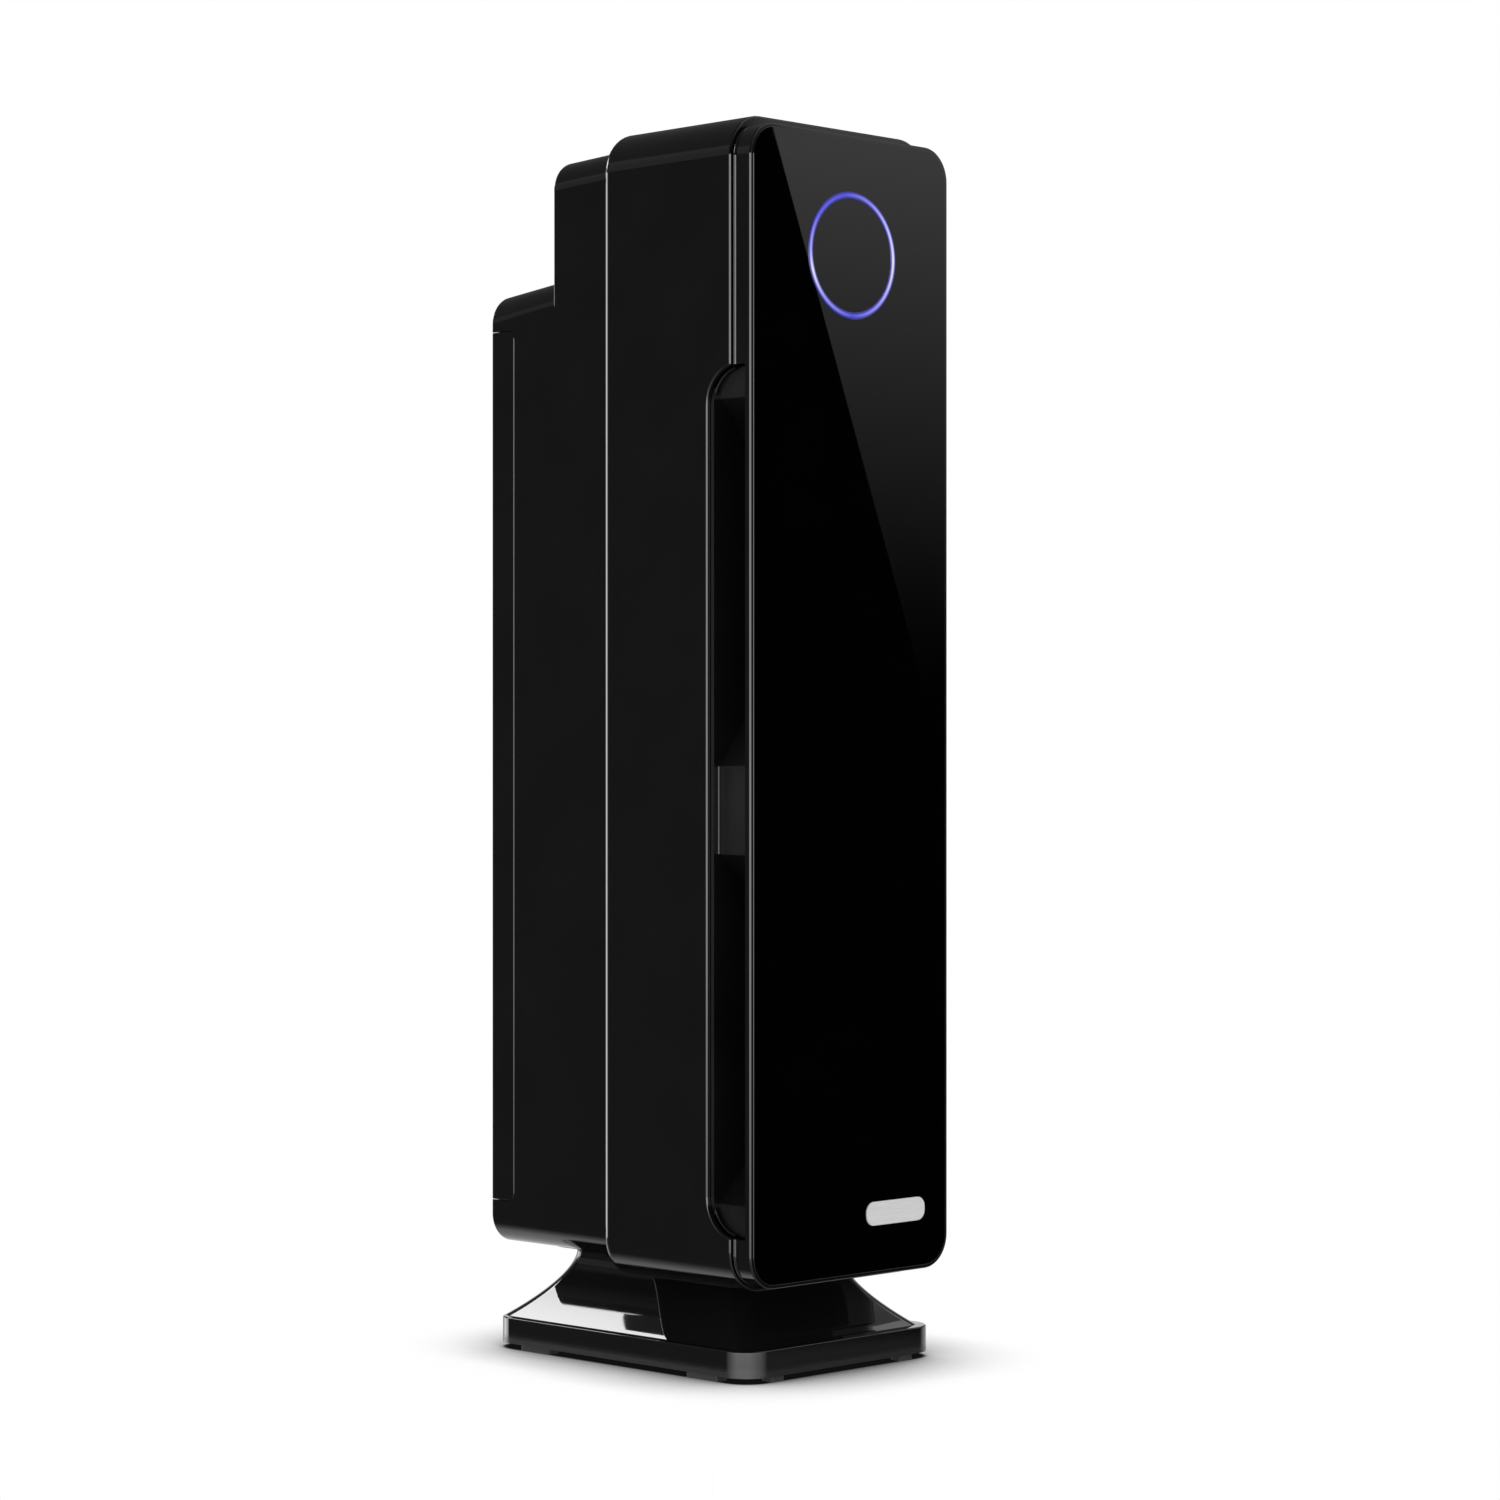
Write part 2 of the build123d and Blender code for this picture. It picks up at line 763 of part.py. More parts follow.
with BuildPart() as filter_cover:
    add(rear_outer)
    add(rear_inner, mode=Mode.SUBTRACT)
    add(cover_keep, mode=Mode.INTERSECT)
    front_edges = filter_cover.edges().filter_by(Axis.Z).filter_by(
        lambda e: abs(abs(e.center().X) - rear_width / 2) < pin_gap
    )
    fillet(front_edges.group_by(Axis.Y)[0], cover_edge_round)
    with BuildSketch(upright(back_y)):
        with Locations((0, cover_mid_z)):
            with GridLocations(grille_pitch_x, grille_pitch_z, grille_columns, grille_rows):
                SlotOverall(grille_slot_length, grille_slot_width)
    extrude(amount=wall, mode=Mode.SUBTRACT)
    with BuildSketch(upright(cover_inner_y)):
        with Locations(*post_spots):
            Circle(post_diameter / 2)
    extrude(amount=cover_inner_y - prefilter_back_y - slip_gap)
    with BuildSketch(upright(cover_inner_y)):
        with Locations((switch_x, switch_z)):
            Circle(post_diameter / 2)
    extrude(amount=cover_inner_y - plunger_tip_y - slip_gap)
    with BuildSketch(upright(cover_inner_y)):
        with Locations(*finger_spots):
            Rectangle(finger_width, finger_thickness)
    extrude(amount=cover_inner_y - cover_front_y + finger_reach)
save(filter_cover.part, "filter_cover")

# Filter tray: bulkhead with open windows, walls round the filter and a bay for the switch
tray_mid_z = (tray_bottom_z + tray_top_z) / 2
tray_height = tray_top_z - tray_bottom_z
window_band = gasket_band
tray_window_width = (filter_width - 3 * window_band) / 2
tray_window_height = (filter_height - 5 * window_band) / 4

with BuildPart() as filter_tray:
    with BuildSketch(upright(tray_front_y)):
        with Locations((0, tray_mid_z)):
            Rectangle(tray_width, tray_height)
    extrude(amount=tray_front_y - tray_rear_y)
    with BuildSketch(upright(tray_floor_y)):
        with Locations((0, (tray_bottom_z + wall + shelf_z - wall) / 2)):
            Rectangle(tray_inner_width, shelf_z - tray_bottom_z - 2 * wall)
        with Locations((0, switch_z)):
            Rectangle(tray_inner_width, switch_bay)
    extrude(amount=tray_floor_y - tray_rear_y, mode=Mode.SUBTRACT)
    with BuildSketch(upright(tray_front_y)):
        with Locations((0, filter_mid_z)):
            with GridLocations(
                tray_window_width + window_band, tray_window_height + window_band, 2, 4
            ):
                RectangleRounded(tray_window_width, tray_window_height, tray_window_corner)
    extrude(amount=-tray_floor, mode=Mode.SUBTRACT)
save(filter_tray.part, "filter_tray")

with BuildPart() as filter_gasket:
    with BuildSketch(upright(tray_floor_y)):
        with Locations((0, filter_mid_z)):
            Rectangle(filter_width, filter_height)
            Rectangle(
                filter_width - 2 * gasket_band, filter_height - 2 * gasket_band, mode=Mode.SUBTRACT
            )
    extrude(amount=-gasket_thickness)
save(filter_gasket.part, "filter_gasket")

# Filter pack: frame, pleated sheet inside it and the carbon sheet on its back
with BuildPart() as filter_frame:
    with BuildSketch(upright(filter_front_y)):
        with Locations((0, filter_mid_z)):
            Rectangle(filter_width, filter_height)
            Rectangle(
                filter_width - 2 * filter_rim, filter_height - 2 * filter_rim, mode=Mode.SUBTRACT
            )
    extrude(amount=-filter_depth)
save(filter_frame.part, "filter_frame")

pleat_span = filter_width - 2 * filter_rim - 2 * pleat_side_gap
pleat_folds = 2 * int(pleat_span / pleat_pitch)
pleat_half = pleat_span / pleat_folds
pleat_front = filter_front_y + pleat_end_gap
pleat_back = filter_back_y - pleat_end_gap
pleat_line = [
    (-pleat_span / 2 + pleat_half * i, pleat_back - pleat_sheet if i % 2 else pleat_front)
    for i in range(pleat_folds + 1)
]
pleat_edge = [(x, y + pleat_sheet * 2) for x, y in reversed(pleat_line)]

with BuildPart() as filter_pleats:
    with BuildSketch(Plane.XY.offset(filter_bottom_z + filter_rim)):
        with BuildLine():
            Polyline(*pleat_line, *pleat_edge, close=True)
        make_face()
    extrude(amount=filter_height - 2 * filter_rim)
save(filter_pleats.part, "filter_pleats")

with BuildPart() as carbon_prefilter:
    with BuildSketch(upright(filter_back_y)):
        with Locations((0, filter_mid_z)):
            Rectangle(filter_width, filter_height)
    extrude(amount=-prefilter_thickness)
save(carbon_prefilter.part, "carbon_prefilter")

with BuildPart() as filter_tab:
    with BuildSketch(upright(prefilter_back_y)):
        with Locations((0, filter_top_z - tab_length / 2)):
            RectangleRounded(tab_width, tab_length, tab_corner)
    extrude(amount=-tab_thickness)
save(filter_tab.part, "filter_tab")

# Safety switch in the tray's bay, its plunger held in by the cover's post
with BuildPart() as interlock_switch:
    with BuildSketch(upright(tray_floor_y)):
        with Locations((switch_x, switch_z)):
            Rectangle(switch_width, switch_height)
    extrude(amount=-switch_depth)
    with BuildSketch(upright(tray_floor_y + switch_depth)):
        with Locations((switch_x, switch_z)):
            Circle(plunger_diameter / 2 + pin_gap)
    extrude(amount=plunger_depth + plunger_clear, mode=Mode.SUBTRACT)
save(interlock_switch.part, "interlock_switch")

with BuildPart() as interlock_plunger:
    with BuildSketch(upright(plunger_tip_y)):
        with Locations((switch_x, switch_z)):
            Circle(plunger_diameter / 2)
    extrude(amount=plunger_stand + plunger_depth)
    fillet(interlock_plunger.faces().sort_by(Axis.Y)[-1].edges(), plunger_round)
save(interlock_plunger.part, "interlock_plunger")

# Blower scrolls: spiral of quarter arcs that leaves straight for the air guide
scroll_r1 = scroll_start_radius + scroll_growth
scroll_r2 = scroll_start_radius + 2 * scroll_growth
scroll_r3 = scroll_start_radius + 3 * scroll_growth


def scroll_face(grow, mouth_y):
    """Plan view of the scroll, drawn out by grow, with its mouth at mouth_y."""
    r0 = scroll_start_radius + grow
    start = 360 - math.degrees(math.acos((tongue_x + grow - fan_x) / r0))
    c1 = (fan_x, fan_y + scroll_growth)
    c2 = (fan_x - scroll_growth, fan_y + scroll_growth)
    c3 = (fan_x - scroll_growth, fan_y)
    with BuildSketch() as face:
        with BuildLine():
            inner = CenterArc((fan_x, fan_y), r0, start, 270 - start)
            CenterArc(c1, scroll_r1 + grow, 270, 90)
            CenterArc(c2, scroll_r2 + grow, 0, 90)
            last = CenterArc(c3, scroll_r3 + grow, 90, 90)
            Line(last @ 1, (scroll_left_x - grow, mouth_y))
            Line((scroll_left_x - grow, mouth_y), (tongue_x + grow, mouth_y))
            Line((tongue_x + grow, mouth_y), inner @ 0)
        make_face()
    return face.sketch


scroll_outside = scroll_face(scroll_wall, guide_back_y)
scroll_inside = scroll_face(0, guide_back_y)


def scroll_piece(up):
    """Scroll tub with its closed end by the motor and its far end open."""
    near = slot_mid_z + up * scroll_base
    with BuildPart() as tub:
        with BuildSketch(Plane.XY.offset(near)):
            add(scroll_outside)
        extrude(amount=up * (scroll_height - inlet_lip))
        with BuildSketch(Plane.XY.offset(near + up * scroll_wall)):
            add(scroll_inside)
        extrude(amount=up * scroll_height, mode=Mode.SUBTRACT)
        with BuildSketch(Plane.XY.offset(near)):
            with Locations((fan_x, fan_y)):
                Circle(shaft_hole_radius)
        extrude(amount=up * scroll_wall, mode=Mode.SUBTRACT)
    return tub.part


def inlet_piece(up):
    """Lid of a scroll with a rounded inlet lip that reaches into the wheel."""
    seat = slot_mid_z + up * (scroll_base + scroll_height - inlet_lip)
    with BuildPart() as lid:
        with BuildSketch(Plane.XY.offset(seat)):
            add(scroll_outside)
        extrude(amount=up * scroll_wall)
        with BuildSketch(Plane.XY.offset(seat)):
            with Locations((fan_x, fan_y)):
                Circle(inlet_radius + scroll_wall)
        extrude(amount=up * inlet_lip)
        with BuildSketch(Plane.XY.offset(seat)):
            with Locations((fan_x, fan_y)):
                Circle(inlet_radius)
        extrude(amount=up * inlet_lip, mode=Mode.SUBTRACT)
    return lid.part


save(scroll_piece(1), "upper_scroll")
save(scroll_piece(-1), "lower_scroll")
save(inlet_piece(1), "upper_inlet_ring")
save(inlet_piece(-1), "lower_inlet_ring")

# Blower wheels
blade_mid = (wheel_radius + wheel_bore_radius) / 2
blade_arc = ThreePointArc(
    (wheel_bore_radius + blade_root, -blade_sweep),
    (blade_mid, -blade_sag),
    (wheel_radius - blade_tip, blade_sweep),
)


def wheel_piece(up):
    """Squirrel-cage wheel: hub, plate, curved blades and end ring."""
    near = slot_mid_z + up * wheel_base
    with BuildPart() as wheel:
        with BuildSketch(Plane((fan_x, fan_y, near))):
            Circle(wheel_radius)
        extrude(amount=up * wheel_plate)
        with BuildSketch(Plane((fan_x, fan_y, near))):
            Circle(hub_diameter / 2)
        extrude(amount=up * hub_height)
        with BuildSketch(Plane((fan_x, fan_y, near))):
            with PolarLocations(0, blade_count):
                SlotArc(blade_arc, blade_thickness)
        extrude(amount=up * wheel_height)
        with BuildSketch(Plane((fan_x, fan_y, near + up * (wheel_height - wheel_ring)))):
            Circle(wheel_radius)
            Circle(wheel_bore_radius, mode=Mode.SUBTRACT)
        extrude(amount=up * wheel_ring)
        with BuildSketch(Plane((fan_x, fan_y, near))):
            Circle(shaft_diameter / 2 + pin_gap)
        extrude(amount=up * hub_height, mode=Mode.SUBTRACT)
    return wheel.part


save(wheel_piece(1), "upper_impeller")
save(wheel_piece(-1), "lower_impeller")

# Motor: can with bushes at both ends, stator inside, core on the shaft
shaft_half = wheel_base + hub_height
with BuildPart() as motor_shaft:
    with BuildSketch(Plane((fan_x, fan_y, slot_mid_z - shaft_half))):
        Circle(shaft_diameter / 2)
    extrude(amount=2 * shaft_half)
    chamfer(motor_shaft.edges().filter_by(GeomType.CIRCLE), shaft_chamfer)
save(motor_shaft.part, "motor_shaft")

with BuildPart() as motor_can:
    with BuildSketch(Plane((fan_x, fan_y, slot_mid_z - motor_height / 2))):
        Circle(motor_radius)
    extrude(amount=motor_height)
    fillet(motor_can.edges().filter_by(GeomType.CIRCLE), motor_edge_round)
    with BuildSketch(Plane((fan_x, fan_y, slot_mid_z - motor_height / 2 + bush_height))):
        Circle(motor_radius - motor_wall)
    extrude(amount=motor_height - 2 * bush_height, mode=Mode.SUBTRACT)
    with BuildSketch(Plane((fan_x, fan_y, slot_mid_z - motor_height / 2))):
        Circle(bush_radius + pin_gap)
    extrude(amount=motor_height, mode=Mode.SUBTRACT)
save(motor_can.part, "motor_can")

with BuildPart() as motor_bushes:
    for low in (slot_mid_z - motor_height / 2, slot_mid_z + motor_height / 2 - bush_height):
        with BuildSketch(Plane((fan_x, fan_y, low))):
            Circle(bush_radius)
            Circle(shaft_diameter / 2 + pin_gap, mode=Mode.SUBTRACT)
        extrude(amount=bush_height)
save(motor_bushes.part, "motor_bushes")

with BuildPart() as motor_stator:
    with BuildSketch(Plane((fan_x, fan_y, slot_mid_z - stator_height / 2))):
        Circle(motor_radius - motor_wall - pin_gap)
        Circle(stator_bore, mode=Mode.SUBTRACT)
    extrude(amount=stator_height)
save(motor_stator.part, "motor_stator")

with BuildPart() as rotor_core:
    with BuildSketch(Plane((fan_x, fan_y, slot_mid_z - core_height / 2))):
        Circle(stator_bore - core_gap)
        Circle(shaft_diameter / 2 + pin_gap, mode=Mode.SUBTRACT)
    extrude(amount=core_height)
save(rotor_core.part, "rotor_core")

with BuildPart() as motor_standoffs:
    for low in (slot_mid_z + motor_height / 2, slot_mid_z - motor_height / 2 - standoff_length):
        with BuildSketch(Plane((fan_x, fan_y, low))):
            with PolarLocations(standoff_circle, 4, start_angle=45):
                Circle(standoff_diameter / 2)
        extrude(amount=standoff_length)
save(motor_standoffs.part, "motor_standoffs")

# Ultraviolet lamp on the front of the filter tray
lamp_y = tray_front_y - lamp_gap - lamp_diameter / 2
lamp_half = lamp_length / 2
with BuildPart() as uv_lamp:
    with BuildSketch(Plane((0, lamp_y, slot_mid_z - lamp_half))):
        Circle(lamp_diameter / 2)
    extrude(amount=lamp_length)
    fillet(uv_lamp.edges().filter_by(GeomType.CIRCLE), lamp_end_round)
save(uv_lamp.part, "uv_lamp")

with BuildPart() as uv_sockets:
    for low in (slot_mid_z - lamp_half - socket_height + socket_cup, slot_mid_z + lamp_half - socket_cup):
        with BuildSketch(Plane.XY.offset(low)):
            with Locations((0, tray_front_y - (lamp_diameter + lamp_gap) / 2)):
                Rectangle(socket_width, lamp_diameter + lamp_gap)
        extrude(amount=socket_height)
    with BuildSketch(Plane((0, lamp_y, slot_mid_z - lamp_half))):
        Circle(lamp_diameter / 2 + pin_gap)
    extrude(amount=lamp_length, mode=Mode.SUBTRACT)
save(uv_sockets.part, "uv_sockets")

# Head bay: power board on standoffs behind the housing's front wall
bay_wall_y = housing_front_y + wall
board_y = bay_wall_y + board_standoff
board_mid_z = head_bay_floor_z + power_board_height / 2 + board_margin
board_spots = [
    (
        side * (power_board_width / 2 - board_margin),
        board_mid_z + end * (power_board_height / 2 - board_margin),
    )
    for side in (-1, 1)
    for end in (-1, 1)
]
with BuildPart() as board_standoffs:
    with BuildSketch(upright(bay_wall_y)):
        with Locations(*board_spots):
            Circle(board_post_diameter / 2)
    extrude(amount=-board_standoff)
save(board_standoffs.part, "board_standoffs")

board_back_y = board_y + board_thickness
with BuildPart() as power_board:
    with BuildSketch(upright(board_y)):
        with Locations((0, board_mid_z)):
            Rectangle(power_board_width, power_board_height)
    extrude(amount=-board_thickness)
save(power_board.part, "power_board")

with BuildPart() as board_transformer:
    with BuildSketch(upright(board_back_y)):
        with Locations((transformer_x, board_mid_z + transformer_rise)):
            Rectangle(transformer_size, transformer_size)
    extrude(amount=-transformer_depth)
    fillet(board_transformer.edges().filter_by(Axis.Y), component_round)
save(board_transformer.part, "board_transformer")

with BuildPart() as run_capacitor:
    with BuildSketch(upright(board_back_y)):
        with Locations((capacitor_x, board_mid_z + capacitor_rise)):
            Circle(capacitor_diameter / 2)
    extrude(amount=-capacitor_length)
    fillet(run_capacitor.faces().sort_by(Axis.Y)[-1].edges(), component_round)
save(run_capacitor.part, "run_capacitor")

with BuildPart() as uv_ballast:
    with BuildSketch(upright(board_back_y)):
        with Locations((ballast_x, board_mid_z - ballast_drop)):
            Rectangle(ballast_width, ballast_height)
    extrude(amount=-ballast_depth)
    fillet(uv_ballast.edges().filter_by(Axis.Y), component_round)
save(uv_ballast.part, "uv_ballast")

# Mains inlet in its pocket at the foot of the rear housing
pocket_floor_y = back_y - inlet_pocket_depth
with BuildPart() as mains_inlet:
    with BuildSketch(upright(pocket_floor_y)):
        with Locations((0, inlet_z)):
            RectangleRounded(inlet_flange_width, inlet_flange_height, inlet_flange_corner)
    extrude(amount=-inlet_flange)
    with BuildSketch(upright(pocket_floor_y)):
        with Locations((0, inlet_z)):
            RectangleRounded(
                inlet_width - 2 * slip_gap,
                inlet_height - 2 * slip_gap,
                inlet_corner - slip_gap,
            )
    extrude(amount=inlet_body_depth)
    with BuildSketch(upright(pocket_floor_y + inlet_flange)):
        with Locations((0, inlet_z)):
            SlotOverall(inlet_socket_width, inlet_socket_height)
    extrude(amount=inlet_socket_depth + inlet_flange, mode=Mode.SUBTRACT)
save(mains_inlet.part, "mains_inlet")

with BuildPart() as inlet_pins:
    with BuildSketch(upright(pocket_floor_y - inlet_socket_depth)):
        with Locations((0, inlet_z)):
            with GridLocations(inlet_pin_pitch, 1, 2, 1):
                Circle(inlet_pin_diameter / 2)
    extrude(amount=-inlet_pin_length)
    fillet(inlet_pins.faces().group_by(Axis.Y)[-1].edges(), inlet_pin_round)
save(inlet_pins.part, "inlet_pins")

# Pedestal: foot plate, concave flare and the collar under the rear housing
base_y = base_back
neck_y = base_y + neck_back
flare_stations = (0.0, 0.15, 0.35, 0.6, 0.8, 1.0)
collar_stations = ((0.0, 0.0), (0.5, 0.3), (1.0, 1.0))


def flare_form(inset, low_z, high_z):
    """Concave flare as a loft of rounded rectangles, drawn in by inset."""
    with BuildPart() as form:
        for u in flare_stations:
            spread = (1 - u) ** flare_power
            width = neck_width + (base_width - 2 * flare_side_ledge - neck_width) * spread
            depth = neck_depth + (base_depth - 2 * flare_end_ledge - neck_depth) * spread
            corner = neck_corner + (flare_corner - neck_corner) * spread
            with BuildSketch(Plane((0, neck_y, low_z + (high_z - low_z) * u))):
                RectangleRounded(width - 2 * inset, depth - 2 * inset, corner - inset)
        loft()
    return form.part


flare_outer = flare_form(0, plate_top_z, waist_z)
flare_inner = flare_form(base_wall, plate_top_z - base_wall, body_bottom_z - base_wall)
base_screw_spots = [
    (sx * (base_width / 2 - base_screw_inset_x), base_y + sy * (base_depth / 2 - base_screw_inset_y))
    for sx in (-1, 1)
    for sy in (-1, 1)
]
neck_block_y = housing_back_y + slip_gap

with BuildPart() as pedestal_form:
    with BuildSketch(Plane((0, base_y, foot_height))):
        RectangleRounded(base_width, base_depth, base_corner)
    extrude(amount=plate_thickness)
    fillet(pedestal_form.faces().sort_by(Axis.Z)[-1].edges(), plate_edge_round)
    add(flare_outer)
    for up, out in collar_stations:
        with BuildSketch(Plane((0, neck_y, waist_z + (rear_bottom_z - waist_z) * up))):
            RectangleRounded(
                neck_width + 2 * collar_flare * out,
                neck_depth + 2 * collar_flare * out,
                neck_corner + collar_flare * out,
            )
    loft()
    with BuildSketch(Plane.XY.offset(body_bottom_z)):
        with Locations((0, neck_block_y - body_depth)):
            Rectangle(2 * body_width, 2 * body_depth)
    extrude(amount=body_height, mode=Mode.SUBTRACT)

with BuildPart() as pedestal:
    add(pedestal_form.part)
    with BuildSketch(Plane((0, base_y, foot_height))):
        RectangleRounded(
            base_width - 2 * base_wall, base_depth - 2 * base_wall, base_corner - base_wall
        )
    extrude(amount=plate_thickness - base_wall, mode=Mode.SUBTRACT)
    add(flare_inner, mode=Mode.SUBTRACT)
    with BuildSketch(Plane.XY.offset(foot_height + bottom_plate)):
        with Locations(*base_screw_spots):
            Circle(base_post_diameter / 2)
    extrude(amount=waist_z - foot_height - bottom_plate)
    add(pedestal_form.part, mode=Mode.INTERSECT)
    with BuildSketch(Plane.XY.offset(foot_height)):
        with Locations(*base_screw_spots):
            Circle(screw_diameter / 2 + pin_gap)
    extrude(amount=plate_thickness - base_wall, mode=Mode.SUBTRACT)
    with BuildSketch(Plane.XY.offset(body_bottom_z)):
        with Locations(*neck_spots):
            Circle(screw_diameter / 2 + slip_gap)
    extrude(amount=-3 * base_wall, mode=Mode.SUBTRACT)
save(pedestal.part, "pedestal")

with BuildPart() as base_bottom_plate:
    with BuildSketch(Plane((0, base_y, foot_height))):
        RectangleRounded(
            base_width - 2 * base_wall - 2 * slip_gap,
            base_depth - 2 * base_wall - 2 * slip_gap,
            base_corner - base_wall - slip_gap,
        )
    extrude(amount=bottom_plate)
    with BuildSketch(Plane.XY.offset(foot_height)):
        with Locations(*base_screw_spots):
            Circle(screw_diameter / 2 + slip_gap)
    extrude(amount=bottom_plate, mode=Mode.SUBTRACT)
save(base_bottom_plate.part, "base_bottom_plate")

with BuildPart() as base_screws:
    with BuildSketch(Plane.XY.offset(foot_height)):
        with Locations(*base_screw_spots):
            Circle(screw_diameter / 2)
    extrude(amount=plate_thickness - base_wall - base_screw_clear)
    with BuildSketch(Plane.XY.offset(foot_height)):
        with Locations(*base_screw_spots):
            Circle(screw_head / 2)
    extrude(amount=-screw_head_height)
save(base_screws.part, "base_screws")

with BuildPart() as neck_screws:
    with BuildSketch(Plane.XY.offset(body_bottom_z - base_wall)):
        with Locations(*neck_spots):
            Circle(screw_diameter / 2)
    extrude(amount=base_wall + wall + boss_length)
    with BuildSketch(Plane.XY.offset(body_bottom_z - base_wall)):
        with Locations(*neck_spots):
            Circle(screw_head / 2)
    extrude(amount=-screw_head_height)
save(neck_screws.part, "neck_screws")

# Feet: pads along the edge of the foot plate, two by each corner
side_foot_x = base_width / 2 - foot_breadth / 2 - plate_edge_round
side_foot_y = base_depth / 2 - side_foot_margin - side_foot_length / 2
end_foot_x = base_width / 2 - end_foot_margin - end_foot_length / 2
end_foot_y = base_depth / 2 - foot_breadth / 2 - plate_edge_round
with BuildPart() as base_feet:
    with BuildSketch(Plane.XY):
        with Locations((0, base_y)):
            with GridLocations(2 * side_foot_x, 2 * side_foot_y, 2, 2):
                RectangleRounded(foot_breadth, side_foot_length, foot_corner)
            with GridLocations(2 * end_foot_x, 2 * end_foot_y, 2, 2):
                RectangleRounded(end_foot_length, foot_breadth, foot_corner)
    extrude(amount=foot_height)
save(base_feet.part, "base_feet")

# Ribbon cable from the touch board through the housing's front wall to the power board
with BuildPart() as panel_ribbon:
    with BuildSketch(upright(bezel_floor_y + board_thickness)):
        with Locations((0, ribbon_z)):
            Rectangle(ribbon_width, ribbon_thickness)
    extrude(amount=bezel_floor_y + board_thickness - board_y)
save(panel_ribbon.part, "panel_ribbon")


def loom_piece(*points):
    """Round loom swept along straight runs with rounded turns."""
    with BuildPart() as loom:
        with BuildLine() as path:
            FilletPolyline(*points, radius=loom_bend)
        with BuildSketch(Plane(origin=path.line @ 0, z_dir=path.line % 0)):
            Circle(loom_diameter / 2)
        sweep()
    return loom.part


# Motor loom down the right wall, mains loom up the left wall from the inlet
loom_x = body_width / 2 - wall - loom_diameter / 2 - loom_wall_gap
loom_z = board_mid_z - power_board_height / 2 + loom_diameter
loom_board_x = power_board_width / 2 - loom_diameter
loom_turn_y = board_back_y + 2 * loom_bend
motor_loom = loom_piece(
    (loom_board_x, board_back_y, loom_z),
    (loom_board_x, loom_turn_y, loom_z),
    (loom_x, loom_turn_y, loom_z),
    (loom_x, loom_turn_y, slot_mid_z),
    (loom_x, fan_y, slot_mid_z),
    (fan_x + motor_radius, fan_y, slot_mid_z),
)
save(motor_loom, "motor_loom")

inlet_front_y = pocket_floor_y - inlet_body_depth
mains_loom = loom_piece(
    (0, inlet_front_y, inlet_z),
    (0, fan_y, inlet_z),
    (-loom_x, fan_y, inlet_z),
    (-loom_x, fan_y, loom_z),
    (-loom_x, loom_turn_y, loom_z),
    (-loom_board_x, loom_turn_y, loom_z),
    (-loom_board_x, board_back_y, loom_z),
)
save(mains_loom, "mains_loom")
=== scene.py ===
import math

import bmesh
import bpy
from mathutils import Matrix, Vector


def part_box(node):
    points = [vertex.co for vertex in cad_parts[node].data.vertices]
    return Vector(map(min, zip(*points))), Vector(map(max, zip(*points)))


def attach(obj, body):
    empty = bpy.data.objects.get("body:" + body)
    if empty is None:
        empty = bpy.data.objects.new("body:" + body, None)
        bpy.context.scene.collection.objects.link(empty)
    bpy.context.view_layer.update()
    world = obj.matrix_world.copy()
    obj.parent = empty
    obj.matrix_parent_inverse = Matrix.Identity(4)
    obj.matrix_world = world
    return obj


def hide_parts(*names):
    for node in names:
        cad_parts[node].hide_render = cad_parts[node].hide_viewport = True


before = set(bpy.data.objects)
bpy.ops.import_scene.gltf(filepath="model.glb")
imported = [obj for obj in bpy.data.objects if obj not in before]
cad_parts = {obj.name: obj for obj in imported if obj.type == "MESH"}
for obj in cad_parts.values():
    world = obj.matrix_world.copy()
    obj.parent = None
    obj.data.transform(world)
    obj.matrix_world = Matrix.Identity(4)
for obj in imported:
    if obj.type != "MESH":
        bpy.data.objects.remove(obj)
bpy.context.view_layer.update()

bl_info = {
    "name": "Tower air purifier",
    "version": (1, 0, 0),
    "blender": (4, 5, 0),
    "location": "View3D > Sidebar > Purifier",
    "description": "Finishes, small pieces and studio for the tower air purifier",
    "category": "Object",
}

MM = 0.001

# Faces along each rounded shape
CORNER_STEPS = 8
EDGE_STEPS = 4
FLARE_STEPS = 18
COLLAR_STEPS = 5
RIM_STEPS = 5
LIP_STEPS = 24
# Share of the collar's opening that grows evenly; the rest grows with the square of the height
COLLAR_EVEN = 0.2
# Rounding of a lip's rim as a share of its thickness, and how far a lip runs round its corner
RIM_ROUND = 0.42
LIP_SWEEP = math.radians(80)
# Edges that turn by more than this stay sharp
CREASE = math.radians(30)
# Points closer than this are one point, and points this close to a cut lie on it
SAME_POINT = 0.001 * MM
ON_CUT = 0.01 * MM

# Where most values of a noise pattern lie, and the narrower span that a moulded colour drifts over
NOISE_SPAN = (0.3, 0.7)
DRIFT_SPAN = (0.35, 0.65)
# A metal's working lines: length in line widths, and depth
LINE_RUN = 60
LINE_DEPTH = 0.02 * MM
# Half the height over which the lighter band of painted floor reflection fades into the gloss
REFLECTION_BAND_FADE = 2.5 * MM
# Scale of a wave pattern whose bands are one unit apart
WAVE_UNIT = 0.31


def linear(code):
    """Linear RGBA from an sRGB hex value."""
    parts = [int(code[i:i + 2], 16) / 255 for i in (0, 2, 4)]
    parts = [p / 12.92 if p <= 0.04045 else ((p + 0.055) / 1.055) ** 2.4 for p in parts]
    return (*parts, 1.0)


